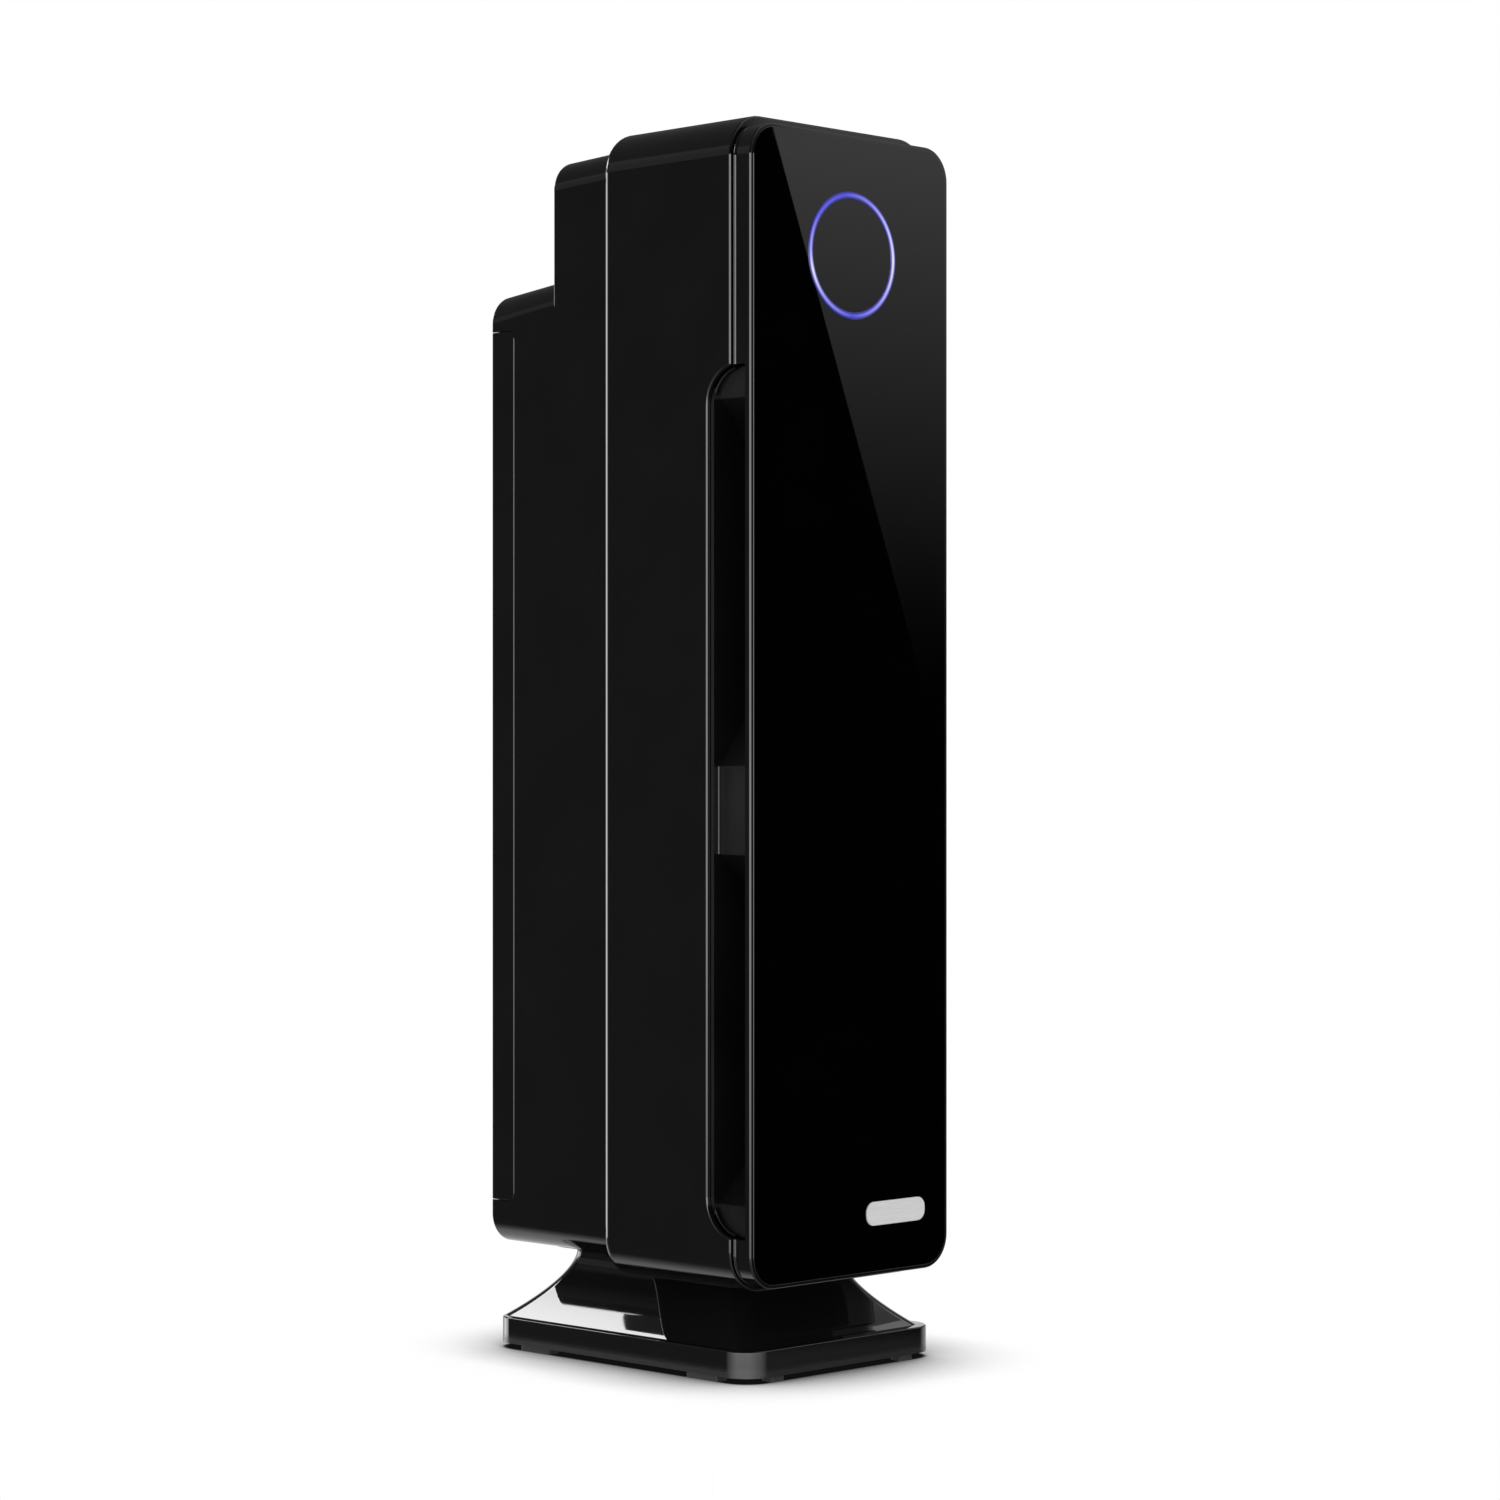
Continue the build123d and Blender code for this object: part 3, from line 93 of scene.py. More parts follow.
def add_node(tree, kind, inputs=None, **settings):
    """Adds one node with its settings; an input that is a socket is linked."""
    item = tree.nodes.new(kind)
    for key, value in settings.items():
        setattr(item, key, value)
    for key, value in (inputs or {}).items():
        if isinstance(value, bpy.types.NodeSocket):
            tree.links.new(value, item.inputs[key])
        else:
            item.inputs[key].default_value = value
    return item


def set_stops(ramp, stops):
    """Sets a colour ramp's stops; a tone is an sRGB hex value or a plain share of white."""
    marks = ramp.color_ramp.elements
    while len(marks) < len(stops):
        marks.new(0.5)
    for mark, (place, tone) in zip(marks, stops):
        mark.position = place
        mark.color = linear(tone) if isinstance(tone, str) else (tone, tone, tone, 1.0)


def start_finish(name):
    """New material with its node tree, shader and Object coordinates."""
    finish = bpy.data.materials.new(name)
    finish.use_nodes = True
    tree = finish.node_tree
    shader = tree.nodes["Principled BSDF"]
    place = add_node(tree, "ShaderNodeTexCoord").outputs["Object"]
    return finish, tree, shader, place


def start_stage_finish(name):
    """New material with no shader yet, its node tree and the socket that a shader goes to."""
    finish = bpy.data.materials.new(name)
    finish.use_nodes = True
    tree = finish.node_tree
    tree.nodes.remove(tree.nodes["Principled BSDF"])
    return finish, tree, tree.nodes["Material Output"].inputs["Surface"]


def moulded(name, tones, rough, grain_mm, depth_mm, ior=1.5, patch_mm=45.0):
    """Moulded plastic or rubber: slow colour drift, a fine skin and uneven gloss."""
    finish, tree, shader, place = start_finish(name)
    drift = add_node(tree, "ShaderNodeTexNoise", {
        "Vector": place, "Scale": 1 / (patch_mm * MM), "Detail": 3.0})
    colour = add_node(tree, "ShaderNodeValToRGB", {"Fac": drift.outputs["Fac"]})
    set_stops(colour, [*zip(DRIFT_SPAN, tones)])
    skin = add_node(tree, "ShaderNodeTexNoise", {
        "Vector": place, "Scale": 1 / (grain_mm * MM), "Detail": 2.0})
    gloss = add_node(tree, "ShaderNodeMapRange", {
        "Value": drift.outputs["Fac"], "From Min": NOISE_SPAN[0], "From Max": NOISE_SPAN[1],
        "To Min": rough[0], "To Max": rough[1]})
    bump = add_node(tree, "ShaderNodeBump", {
        "Height": skin.outputs["Fac"], "Strength": 1.0, "Distance": depth_mm * MM})
    tree.links.new(colour.outputs["Color"], shader.inputs["Base Color"])
    tree.links.new(gloss.outputs["Result"], shader.inputs["Roughness"])
    tree.links.new(bump.outputs["Normal"], shader.inputs["Normal"])
    shader.inputs["IOR"].default_value = ior
    return finish


def paint_floor_reflection_below(finish, height, tone, rough):
    """Below a height, makes a finish rougher and mixes in a lighter tone, a painted reflection of the
    floor.
    """
    tree = finish.node_tree
    shader = tree.nodes["Principled BSDF"]
    place = add_node(tree, "ShaderNodeTexCoord").outputs["Object"]
    level = add_node(tree, "ShaderNodeSeparateXYZ", {"Vector": place}).outputs["Z"]
    share = add_node(tree, "ShaderNodeMapRange", {
        "Value": level, "From Min": height + REFLECTION_BAND_FADE,
        "From Max": height - REFLECTION_BAND_FADE}).outputs["Result"]
    colour = shader.inputs["Base Color"].links[0].from_socket
    gloss = shader.inputs["Roughness"].links[0].from_socket
    # Painted reflection: below the height a lighter tone stands in for the floor mirrored in the gloss,
    # and the roughness rises there too
    # A Mix node's inputs go by number: 0 is the share, 2 and 3 are values, 6 and 7 are colours
    floor_reflection_tone = add_node(tree, "ShaderNodeMix", {0: share, 6: colour, 7: linear(tone)}, data_type="RGBA")
    matt = add_node(tree, "ShaderNodeMix", {0: share, 2: gloss, 3: rough}, data_type="FLOAT")
    tree.links.new(floor_reflection_tone.outputs[2], shader.inputs["Base Color"])
    tree.links.new(matt.outputs[0], shader.inputs["Roughness"])


def worked_metal(name, tones, rough, line_mm, along, metallic=1.0):
    """Metal with fine parallel working lines along one axis."""
    finish, tree, shader, place = start_finish(name)
    stretch = [1 / (line_mm * MM)] * 3
    stretch["XYZ".index(along)] = 1 / (LINE_RUN * line_mm * MM)
    squeeze = add_node(tree, "ShaderNodeMapping", {"Vector": place, "Scale": stretch})
    lines = add_node(tree, "ShaderNodeTexNoise", {
        "Vector": squeeze.outputs["Vector"], "Scale": 1.0, "Detail": 3.0})
    colour = add_node(tree, "ShaderNodeValToRGB", {"Fac": lines.outputs["Fac"]})
    set_stops(colour, [*zip(NOISE_SPAN, tones)])
    gloss = add_node(tree, "ShaderNodeMapRange", {
        "Value": lines.outputs["Fac"], "From Min": NOISE_SPAN[0], "From Max": NOISE_SPAN[1],
        "To Min": rough[0], "To Max": rough[1]})
    bump = add_node(tree, "ShaderNodeBump", {
        "Height": lines.outputs["Fac"], "Strength": 0.4, "Distance": LINE_DEPTH})
    tree.links.new(colour.outputs["Color"], shader.inputs["Base Color"])
    tree.links.new(gloss.outputs["Result"], shader.inputs["Roughness"])
    tree.links.new(bump.outputs["Normal"], shader.inputs["Normal"])
    shader.inputs["Metallic"].default_value = metallic
    return finish


def light_guide(tones):
    """Frosted acrylic light guide: deep blue between the lights, almost white over them."""
    finish, tree, shader, place = start_finish("acrylic_light_guide")
    low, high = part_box("light_ring")
    window_low, window_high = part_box("touch_window")
    middle = (Vector(low) + Vector(high)) / 2
    outer = (high[0] - low[0]) / 2
    inner = (window_high[0] - window_low[0]) / 2
    centred = add_node(tree, "ShaderNodeMapping", {"Vector": place, "Location": -middle})
    upright = add_node(tree, "ShaderNodeMapping", {
        "Vector": centred.outputs["Vector"], "Rotation": (math.radians(-90), 0.0, 0.0)})
    # Tone by share of a turn: pale at the two sides, deep at the bottom and the top
    turn = add_node(tree, "ShaderNodeTexGradient", {"Vector": upright.outputs["Vector"]},
                    gradient_type="RADIAL")
    glow = add_node(tree, "ShaderNodeValToRGB", {"Fac": turn.outputs["Fac"]})
    set_stops(glow, [
        (0.0, "a9a7f4"), (0.05, tones.ring_pale), (0.13, "9a98f4"), (0.25, tones.ring_deep),
        (0.37, "9a98f4"), (0.50, tones.ring_pale), (0.58, "c4c0ff"), (0.67, "8886ea"),
        (0.78, tones.ring_deep), (0.90, "5f5cdc"), (1.0, "a9a7f4")])
    # Brightest along the middle of the ring's width
    flat = add_node(tree, "ShaderNodeMapping", {
        "Vector": upright.outputs["Vector"], "Scale": (1.0, 1.0, 0.0)})
    reach = add_node(tree, "ShaderNodeVectorMath", {0: flat.outputs["Vector"]}, operation="LENGTH")
    off = add_node(tree, "ShaderNodeMath", {0: reach.outputs["Value"], 1: (outer + inner) / 2},
                   operation="SUBTRACT")
    away = add_node(tree, "ShaderNodeMath", {0: off.outputs["Value"]}, operation="ABSOLUTE")
    core = add_node(tree, "ShaderNodeMapRange", {
        "Value": away.outputs["Value"], "From Min": 0.0, "From Max": (outer - inner) / 2,
        "To Min": 1.0, "To Max": 0.0}, interpolation_type="SMOOTHSTEP").outputs["Result"]
    tone = add_node(tree, "ShaderNodeMix", {
        0: core, 6: linear("2624a0"), 7: glow.outputs["Color"]}, data_type="RGBA")
    power = add_node(tree, "ShaderNodeMapRange", {"Value": core, "To Min": 0.45, "To Max": 1.05})
    tree.links.new(tone.outputs[2], shader.inputs["Emission Color"])
    tree.links.new(power.outputs["Result"], shader.inputs["Emission Strength"])
    shader.inputs["Base Color"].default_value = linear("20204a")
    shader.inputs["Roughness"].default_value = 0.3
    return finish


def carbon_foam(cell_mm=3.0, depth_mm=0.8):
    """Open foam loaded with carbon: matt black cells with greyer rims."""
    finish, tree, shader, place = start_finish("foam_carbon")
    cells = add_node(tree, "ShaderNodeTexVoronoi", {"Vector": place, "Scale": 1 / (cell_mm * MM)},
                     feature="DISTANCE_TO_EDGE")
    colour = add_node(tree, "ShaderNodeValToRGB", {"Fac": cells.outputs["Distance"]})
    set_stops(colour, [(0.04, "3a3a3a"), (0.25, "0c0c0c")])
    bump = add_node(tree, "ShaderNodeBump", {
        "Height": cells.outputs["Distance"], "Strength": 1.0, "Distance": depth_mm * MM}, invert=True)
    tree.links.new(colour.outputs["Color"], shader.inputs["Base Color"])
    tree.links.new(bump.outputs["Normal"], shader.inputs["Normal"])
    shader.inputs["Roughness"].default_value = 0.9
    return finish


def woven_tape(thread_mm=0.8, depth_mm=0.2):
    """Woven polyester tape: pale threads that cross, dull and slightly raised."""
    finish, tree, shader, place = start_finish("polyester_tape")
    warp, weft = (
        add_node(tree, "ShaderNodeTexWave", {"Vector": place, "Scale": WAVE_UNIT / (thread_mm * MM)},
                 bands_direction=across).outputs["Fac"] for across in "XZ")
    weave = add_node(tree, "ShaderNodeMath", {0: warp, 1: weft}, operation="MULTIPLY")
    colour = add_node(tree, "ShaderNodeValToRGB", {"Fac": weave.outputs["Value"]})
    set_stops(colour, [(0.0, "9a9a9a"), (1.0, "d8d8d8")])
    bump = add_node(tree, "ShaderNodeBump", {
        "Height": weave.outputs["Value"], "Strength": 0.8, "Distance": depth_mm * MM})
    tree.links.new(colour.outputs["Color"], shader.inputs["Base Color"])
    tree.links.new(bump.outputs["Normal"], shader.inputs["Normal"])
    shader.inputs["Roughness"].default_value = 0.85
    return finish


def quartz_tube(haze_mm=20):
    """Fused quartz: clear with a faint cool tint and patches of haze."""
    finish, tree, shader, place = start_finish("quartz_clear")
    haze = add_node(tree, "ShaderNodeTexNoise", {"Vector": place, "Scale": 1 / (haze_mm * MM)})
    clear = add_node(tree, "ShaderNodeMapRange", {
        "Value": haze.outputs["Fac"], "To Min": 0.02, "To Max": 0.12})
    tree.links.new(clear.outputs["Result"], shader.inputs["Roughness"])
    shader.inputs["Base Color"].default_value = linear("eef4fb")
    shader.inputs["Transmission Weight"].default_value = 0.9
    shader.inputs["IOR"].default_value = 1.46
    return finish


def rounded_loop(form, size, corner, middle_y, height, keep_face=False):
    """Edges of one rounded rectangle, size = (width, depth), at a height."""
    before = set(form.verts)
    rim = [form.verts.new((sx * size[0] / 2, middle_y + sy * size[1] / 2, height))
           for sx, sy in ((-1, -1), (1, -1), (1, 1), (-1, 1))]
    form.faces.new(rim)
    bmesh.ops.bevel(form, geom=rim, offset=corner, offset_type="OFFSET", affect="VERTICES",
                    segments=CORNER_STEPS, profile=0.5, material=-1)
    made = set(form.verts) - before
    edges = [edge for edge in form.edges if set(edge.verts) <= made]
    if not keep_face:
        bmesh.ops.delete(form, geom=[face for face in form.faces if set(face.verts) <= made],
                         context="FACES_ONLY")
    return edges


def settle(name, form, body, finish):
    """Turns a bmesh into a finished piece that rides on a body."""
    bmesh.ops.remove_doubles(form, verts=form.verts, dist=SAME_POINT)
    bmesh.ops.recalc_face_normals(form, faces=form.faces)
    for face in form.faces:
        face.smooth = True
    for edge in form.edges:
        edge.smooth = edge.is_manifold and edge.calc_face_angle() < CREASE
    data = bpy.data.meshes.new(name)
    form.to_mesh(data)
    form.free()
    data.materials.append(finish)
    piece = bpy.data.objects.new(name, data)
    bpy.context.collection.objects.link(piece)
    # Flat faces keep their flat shading beside a rounded corner
    even = piece.modifiers.new("even_shading", "WEIGHTED_NORMAL")
    even.keep_sharp = True
    even.weight = 100
    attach(piece, body)
    return piece


def dress(nodes, finish):
    """Gives CAD nodes one finish."""
    for node in nodes:
        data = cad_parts[node].data
        data.materials.clear()
        data.materials.append(finish)


class PurifierFinish(bpy.types.PropertyGroup):
    """Tones of the surfaces in plain sight"""
    shell_dark: bpy.props.StringProperty(
        name="Shell, dark", description="Darker tone of the gloss shells, sRGB hex", default="0c0c0c")
    shell_light: bpy.props.StringProperty(
        name="Shell, light", description="Lighter tone of the gloss shells, sRGB hex", default="0f0f0f")
    panel: bpy.props.StringProperty(
        name="Panel", description="Tone of the polished front panel, sRGB hex", default="010101")
    base_dark: bpy.props.StringProperty(
        name="Pedestal, dark", description="Darker tone of the pedestal, sRGB hex", default="101010")
    base_light: bpy.props.StringProperty(
        name="Pedestal, light", description="Lighter tone of the pedestal, sRGB hex", default="131313")
    ring_deep: bpy.props.StringProperty(
        name="Ring, deep", description="Deep blue of the lit ring, sRGB hex", default="4a48d4")
    ring_pale: bpy.props.StringProperty(
        name="Ring, pale", description="Palest tone of the lit ring, sRGB hex", default="e8e6ff")
    badge: bpy.props.StringProperty(
        name="Badge", description="Tone of the bare badge plate, sRGB hex", default="e4e4e4")


class PurifierPedestal(bpy.types.PropertyGroup):
    """Sizes of the pedestal"""
    plate: bpy.props.FloatProperty(
        name="Plate", description="Thickness of the foot plate", unit="LENGTH", default=15.2 * MM)
    plate_corner: bpy.props.FloatProperty(
        name="Plate corner", description="Corner radius of the foot plate", unit="LENGTH",
        default=17.0 * MM)
    edge_round: bpy.props.FloatProperty(
        name="Edge", description="Rounding of the plate's upper edge", unit="LENGTH", default=0.9 * MM)
    wall: bpy.props.FloatProperty(
        name="Wall", description="Wall thickness of the moulding", unit="LENGTH", default=3.0 * MM)
    side_ledge: bpy.props.FloatProperty(
        name="Side ledge", description="Flat of the plate beside the flare", unit="LENGTH",
        default=6.0 * MM)
    end_ledge: bpy.props.FloatProperty(
        name="End ledge", description="Mean flat of the plate at the flare's ends", unit="LENGTH",
        default=3.7 * MM)
    flare_corner: bpy.props.FloatProperty(
        name="Flare corner", description="Corner radius at the flare's foot", unit="LENGTH",
        default=10.0 * MM)
    flare_power: bpy.props.FloatProperty(
        name="Flare curve", description="How strongly the flare is hollowed", default=1.6)
    neck_width: bpy.props.FloatProperty(
        name="Neck width", description="Width of the neck at its narrowest", unit="LENGTH",
        default=92.0 * MM)
    neck_depth: bpy.props.FloatProperty(
        name="Neck depth", description="Depth of the neck at its narrowest", unit="LENGTH",
        default=145.0 * MM)
    neck_corner: bpy.props.FloatProperty(
        name="Neck corner", description="Corner radius of the neck", unit="LENGTH", default=12.0 * MM)
    neck_back: bpy.props.FloatProperty(
        name="Neck set-back", description="How far the neck stands behind the plate's middle",
        unit="LENGTH", default=3.2 * MM)
    waist: bpy.props.FloatProperty(
        name="Waist", description="Height of the narrowest place", unit="LENGTH", default=57.0 * MM)
    collar: bpy.props.FloatProperty(
        name="Collar", description="How far the collar opens again", unit="LENGTH", default=14.0 * MM)
    gap: bpy.props.FloatProperty(
        name="Gap", description="Slip gap behind the front housing", unit="LENGTH", default=0.3 * MM)
    # Height of the lighter band along the plate's foot, a painted reflection of the floor
    strip: bpy.props.FloatProperty(
        name="Satin strip", description="Height of the rubbed strip on the plate", unit="LENGTH",
        default=5.0 * MM)


class PurifierSlot(bpy.types.PropertyGroup):
    """Sizes of the outlet slots and the lips at their ends"""
    low: bpy.props.FloatProperty(
        name="Low end", description="Height of the slot's lower end", unit="LENGTH", default=82.0 * MM)
    high: bpy.props.FloatProperty(
        name="High end", description="Height of the slot's upper end", unit="LENGTH",
        default=572.0 * MM)
    depth: bpy.props.FloatProperty(
        name="Depth", description="Front to back reach of the slot", unit="LENGTH", default=18.5 * MM)
    corner: bpy.props.FloatProperty(
        name="Corner", description="Radius of the slot's rear corners", unit="LENGTH",
        default=22.0 * MM)
    gap: bpy.props.FloatProperty(
        name="Gap", description="Gap between the slot's corner and the lip", unit="LENGTH",
        default=0.1 * MM)
    lip: bpy.props.FloatProperty(
        name="Lip", description="Thickness of the lip", unit="LENGTH", default=1.7 * MM)
    root: bpy.props.FloatProperty(
        name="Root", description="Where the lip leaves the guide's end block, from the middle",
        unit="LENGTH", default=75.9 * MM)
    tip: bpy.props.FloatProperty(
        name="Tip", description="Where the lip ends, from the middle", unit="LENGTH", default=78.6 * MM)


class PurifierStage(bpy.types.PropertyGroup):
    """Camera, floor and light"""
    camera_place: bpy.props.FloatVectorProperty(
        name="Camera", description="Where the camera stands", subtype="XYZ", unit="LENGTH",
        default=(-1.6317, -1.63645, 0.356))
    camera_aim: bpy.props.FloatVectorProperty(
        name="Aim", description="Level direction the camera looks along", subtype="DIRECTION",
        default=(0.7126, 0.7015, 0.0))
    lens: bpy.props.FloatProperty(
        name="Lens", description="Focal length in millimetres on a 36 mm sensor", default=93.6)
    room: bpy.props.FloatProperty(
        name="Room light", description="Strength of the even light all round", default=0.85)
    floor_reach: bpy.props.FloatProperty(
        name="Floor", description="Half width of the floor", unit="LENGTH", default=30.0)


class PURIFIER_OT_shells(bpy.types.Operator):
    """Gloss black outer shells"""
    bl_idname = "purifier.shells"
    bl_label = "Outer shells"

    def execute(self, context):
        tones = context.scene.purifier_finish
        # High-polish moulded ABS: near-black, sharp reflections with a faint orange peel
        dress(("front_housing", "front_bezel", "rear_housing", "filter_cover"), moulded(
            "abs_gloss_black", (tones.shell_dark, tones.shell_light),
            rough=(0.045, 0.075), grain_mm=2.2, depth_mm=0.0003, ior=1.52))
        return {"FINISHED"}


class PURIFIER_OT_pedestal(bpy.types.Operator):
    """Foot plate and concave flare in one clean skin"""
    bl_idname = "purifier.pedestal"
    bl_label = "Pedestal"

    def execute(self, context):
        sizes = context.scene.purifier_pedestal
        tones = context.scene.purifier_finish
        housing_low, housing_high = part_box("front_housing")
        form = bmesh.new()
        loops = self.plate_loops(form, sizes)
        edge_loop = loops[-1]
        loops += self.flare_loops(form, sizes)
        for first, second in zip(loops, loops[1:]):
            bmesh.ops.bridge_loops(form, edges=first + second)
        bmesh.ops.bevel(form, geom=edge_loop, offset=sizes.edge_round, offset_type="OFFSET",
                        affect="EDGES", segments=EDGE_STEPS, profile=0.5, material=-1)
        self.make_room(form, housing_low[2], housing_high[1] + sizes.gap)
        # High-polish moulded ABS; along its lower edge it turns rougher and takes a lighter tone, a
        # painted reflection of the floor
        finish = moulded("abs_gloss_black_base", (tones.base_dark, tones.base_light),
                         rough=(0.012, 0.028), grain_mm=2.2, depth_mm=0.0003, ior=1.52)
        paint_floor_reflection_below(finish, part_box("base_feet")[1][2] + sizes.strip, "1c1c1c", rough=0.30)
        piece = settle("pedestal_skin", form, "tower", finish)
        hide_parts("pedestal")
        return {"FINISHED"}

    def plate_loops(self, form, sizes):
        """Hollow underside of the foot plate, its rim and its upper edge, in that order."""
        low, high = (Vector(corner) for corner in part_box("pedestal"))
        size = high - low
        middle_y = (low.y + high.y) / 2
        top = low.z + sizes.plate
        hollow = (size.x - 2 * sizes.wall, size.y - 2 * sizes.wall)
        hollow_corner = sizes.plate_corner - sizes.wall
        return [
            rounded_loop(form, hollow, hollow_corner, middle_y, top - sizes.wall, keep_face=True),
            rounded_loop(form, hollow, hollow_corner, middle_y, low.z),
            rounded_loop(form, size.xy, sizes.plate_corner, middle_y, low.z),
            rounded_loop(form, size.xy, sizes.plate_corner, middle_y, top)]

    def flare_loops(self, form, sizes):
        """Flare from the plate up to the waist, then the collar that opens under the rear housing."""
        low, high = (Vector(corner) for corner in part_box("pedestal"))
        size = high - low
        middle_y = (low.y + high.y) / 2 + sizes.neck_back
        foot_z = low.z + sizes.plate
        foot = (size.x - 2 * sizes.side_ledge, size.y - 2 * sizes.end_ledge)
        loops = []
        for step in range(FLARE_STEPS + 1):
            up = step / FLARE_STEPS
            spread = (1 - up) ** sizes.flare_power
            loops.append(rounded_loop(
                form, (sizes.neck_width + (foot[0] - sizes.neck_width) * spread,
                       sizes.neck_depth + (foot[1] - sizes.neck_depth) * spread),
                sizes.neck_corner + (sizes.flare_corner - sizes.neck_corner) * spread,
                middle_y, foot_z + (sizes.waist - foot_z) * up))
        for step in range(1, COLLAR_STEPS + 1):
            up = step / COLLAR_STEPS
            out = sizes.collar * (COLLAR_EVEN * up + (1 - COLLAR_EVEN) * up * up)
            loops.append(rounded_loop(
                form, (sizes.neck_width + 2 * out, sizes.neck_depth + 2 * out),
                sizes.neck_corner + out, middle_y, sizes.waist + (high.z - sizes.waist) * up))
        return loops

    def make_room(self, form, body_low, body_back):
        """Cuts the neck away where the front housing stands, and closes the cut."""
        bmesh.ops.bisect_plane(form, geom=[*form.verts, *form.edges, *form.faces],
                               plane_co=(0, 0, body_low), plane_no=(0, 0, 1))
        raised = [face for face in form.faces if face.calc_center_median().z > body_low]
        around = dict.fromkeys(item for face in raised for item in (*face.verts, *face.edges))
        bmesh.ops.bisect_plane(form, geom=[*around, *raised],
                               plane_co=(0, body_back, 0), plane_no=(0, 1, 0))
        bmesh.ops.delete(form, context="FACES", geom=[
            face for face in form.faces
            if face.calc_center_median().z > body_low and face.calc_center_median().y < body_back])
        bare = [edge for edge in form.edges if edge.is_boundary]
        at_cut = [vert for vert in dict.fromkeys(vert for edge in bare for vert in edge.verts)
                  if abs(vert.co.y - body_back) < ON_CUT]
        for height in (min(vert.co.z for vert in at_cut), max(vert.co.z for vert in at_cut)):
            ends = [vert for vert in at_cut if abs(vert.co.z - height) < ON_CUT]
            bare.append(form.edges.new(ends))
        bmesh.ops.edgenet_fill(form, edges=bare)


class PURIFIER_OT_slot_lips(bpy.types.Operator):
    """Rounded lips round the ends of the outlet slots"""
    bl_idname = "purifier.slot_lips"
    bl_label = "Slot lips"

    def execute(self, context):
        sizes = context.scene.purifier_slot
        middle_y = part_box("front_housing")[0][1] + sizes.depth - sizes.corner
        outer = sizes.corner - sizes.gap
        inner = outer - sizes.lip
        profile = ((sizes.root, inner), (sizes.tip, inner), (sizes.tip, outer), (sizes.root, outer))
        ends = ((sizes.low + sizes.corner, -1), (sizes.high - sizes.corner, 1))
        form = bmesh.new()
        for side in (-1, 1):
            for height, turn in ends:
                before = set(form.verts)
                rim = [form.verts.new((side * x, middle_y + reach, height)) for x, reach in profile]
                form.faces.new(rim)
                bmesh.ops.bevel(form, geom=rim[1:3], offset=sizes.lip * RIM_ROUND, offset_type="OFFSET",
                                affect="VERTICES", segments=RIM_STEPS, profile=0.5, material=-1)
                made = set(form.verts) - before
                start = [vert for vert in form.verts if vert in made]
                start += [item for item in (*form.edges, *form.faces) if set(item.verts) <= made]
                bmesh.ops.spin(form, geom=start, cent=(0, middle_y, height), axis=(1, 0, 0),
                               angle=turn * LIP_SWEEP, steps=LIP_STEPS, use_merge=False)
        bmesh.ops.holes_fill(form, edges=[edge for edge in form.edges if edge.is_boundary])
        settle("slot_lips", form, "tower", bpy.data.materials["abs_gloss_black"])
        return {"FINISHED"}


class PURIFIER_OT_panel(bpy.types.Operator):
    """Polished front panel and the touch window in its ring"""
    bl_idname = "purifier.panel"
    bl_label = "Front panel"

    def execute(self, context):
        tone = context.scene.purifier_finish.panel
        # Cast acrylic backed in black: mirror-flat, no colour of its own
        dress(("front_panel", "touch_window"), moulded(
            "acrylic_black_backed", (tone, "020202"),
            rough=(0.004, 0.012), grain_mm=30.0, depth_mm=0.0001, ior=1.49))
        return {"FINISHED"}


class PURIFIER_OT_ring(bpy.types.Operator):
    """Lit ring and the lights behind it"""
    bl_idname = "purifier.ring"
    bl_label = "Ring of light"

    def execute(self, context):
        dress(("light_ring",), light_guide(context.scene.purifier_finish))
        # Clear epoxy over a light chip: pale and smooth
        dress(("ring_leds",), moulded(
            "epoxy_led", ("e6e6da", "f4f4ea"), rough=(0.2, 0.3), grain_mm=1.0, depth_mm=0.002))
        return {"FINISHED"}


class PURIFIER_OT_badge(bpy.types.Operator):
    """Bare badge plate"""
    bl_idname = "purifier.badge"
    bl_label = "Badge plate"

    def execute(self, context):
        tone = context.scene.purifier_finish.badge
        # Satin silver lacquer on stamped aluminium: pale grey with fine lines along its length,
        # drawn coarser than real ones so that they show
        dress(("badge_plate",), worked_metal(
            "aluminium_satin_lacquer", (tone, "f0f0f0"),
            rough=(0.35, 0.5), line_mm=0.35, along="X", metallic=0.1))
        return {"FINISHED"}


class PURIFIER_OT_air_path(bpy.types.Operator):
    """Air guide, blower scrolls, wheels and filter tray"""
    bl_idname = "purifier.air_path"
    bl_label = "Air path"

    def execute(self, context):
        # Satin ABS: dark with a soft, slightly uneven sheen
        dress(("air_guide",), moulded(
            "abs_satin_black", ("111111", "161616"),
            rough=(0.17, 0.25), grain_mm=0.9, depth_mm=0.002, ior=1.42))
        # Spark-eroded ABS: dark with a fine sand skin
        dress(("filter_tray", "base_bottom_plate"), moulded(
            "abs_sand_dark", ("191919", "202020"), rough=(0.42, 0.55), grain_mm=0.9, depth_mm=0.03))
        # Glass-filled polypropylene: grey with a cloudy flow pattern
        dress(("upper_scroll", "lower_scroll", "upper_inlet_ring", "lower_inlet_ring"), moulded(
            "polypropylene_grey", ("3a3b3d", "47484a"),
            rough=(0.4, 0.55), grain_mm=1.5, depth_mm=0.03, patch_mm=18.0))
        # Polypropylene of the wheels: paler, with a finer flow pattern
        dress(("upper_impeller", "lower_impeller"), moulded(
            "polypropylene_wheel", ("56585b", "626467"),
            rough=(0.38, 0.5), grain_mm=1.2, depth_mm=0.02, patch_mm=12.0))
        return {"FINISHED"}


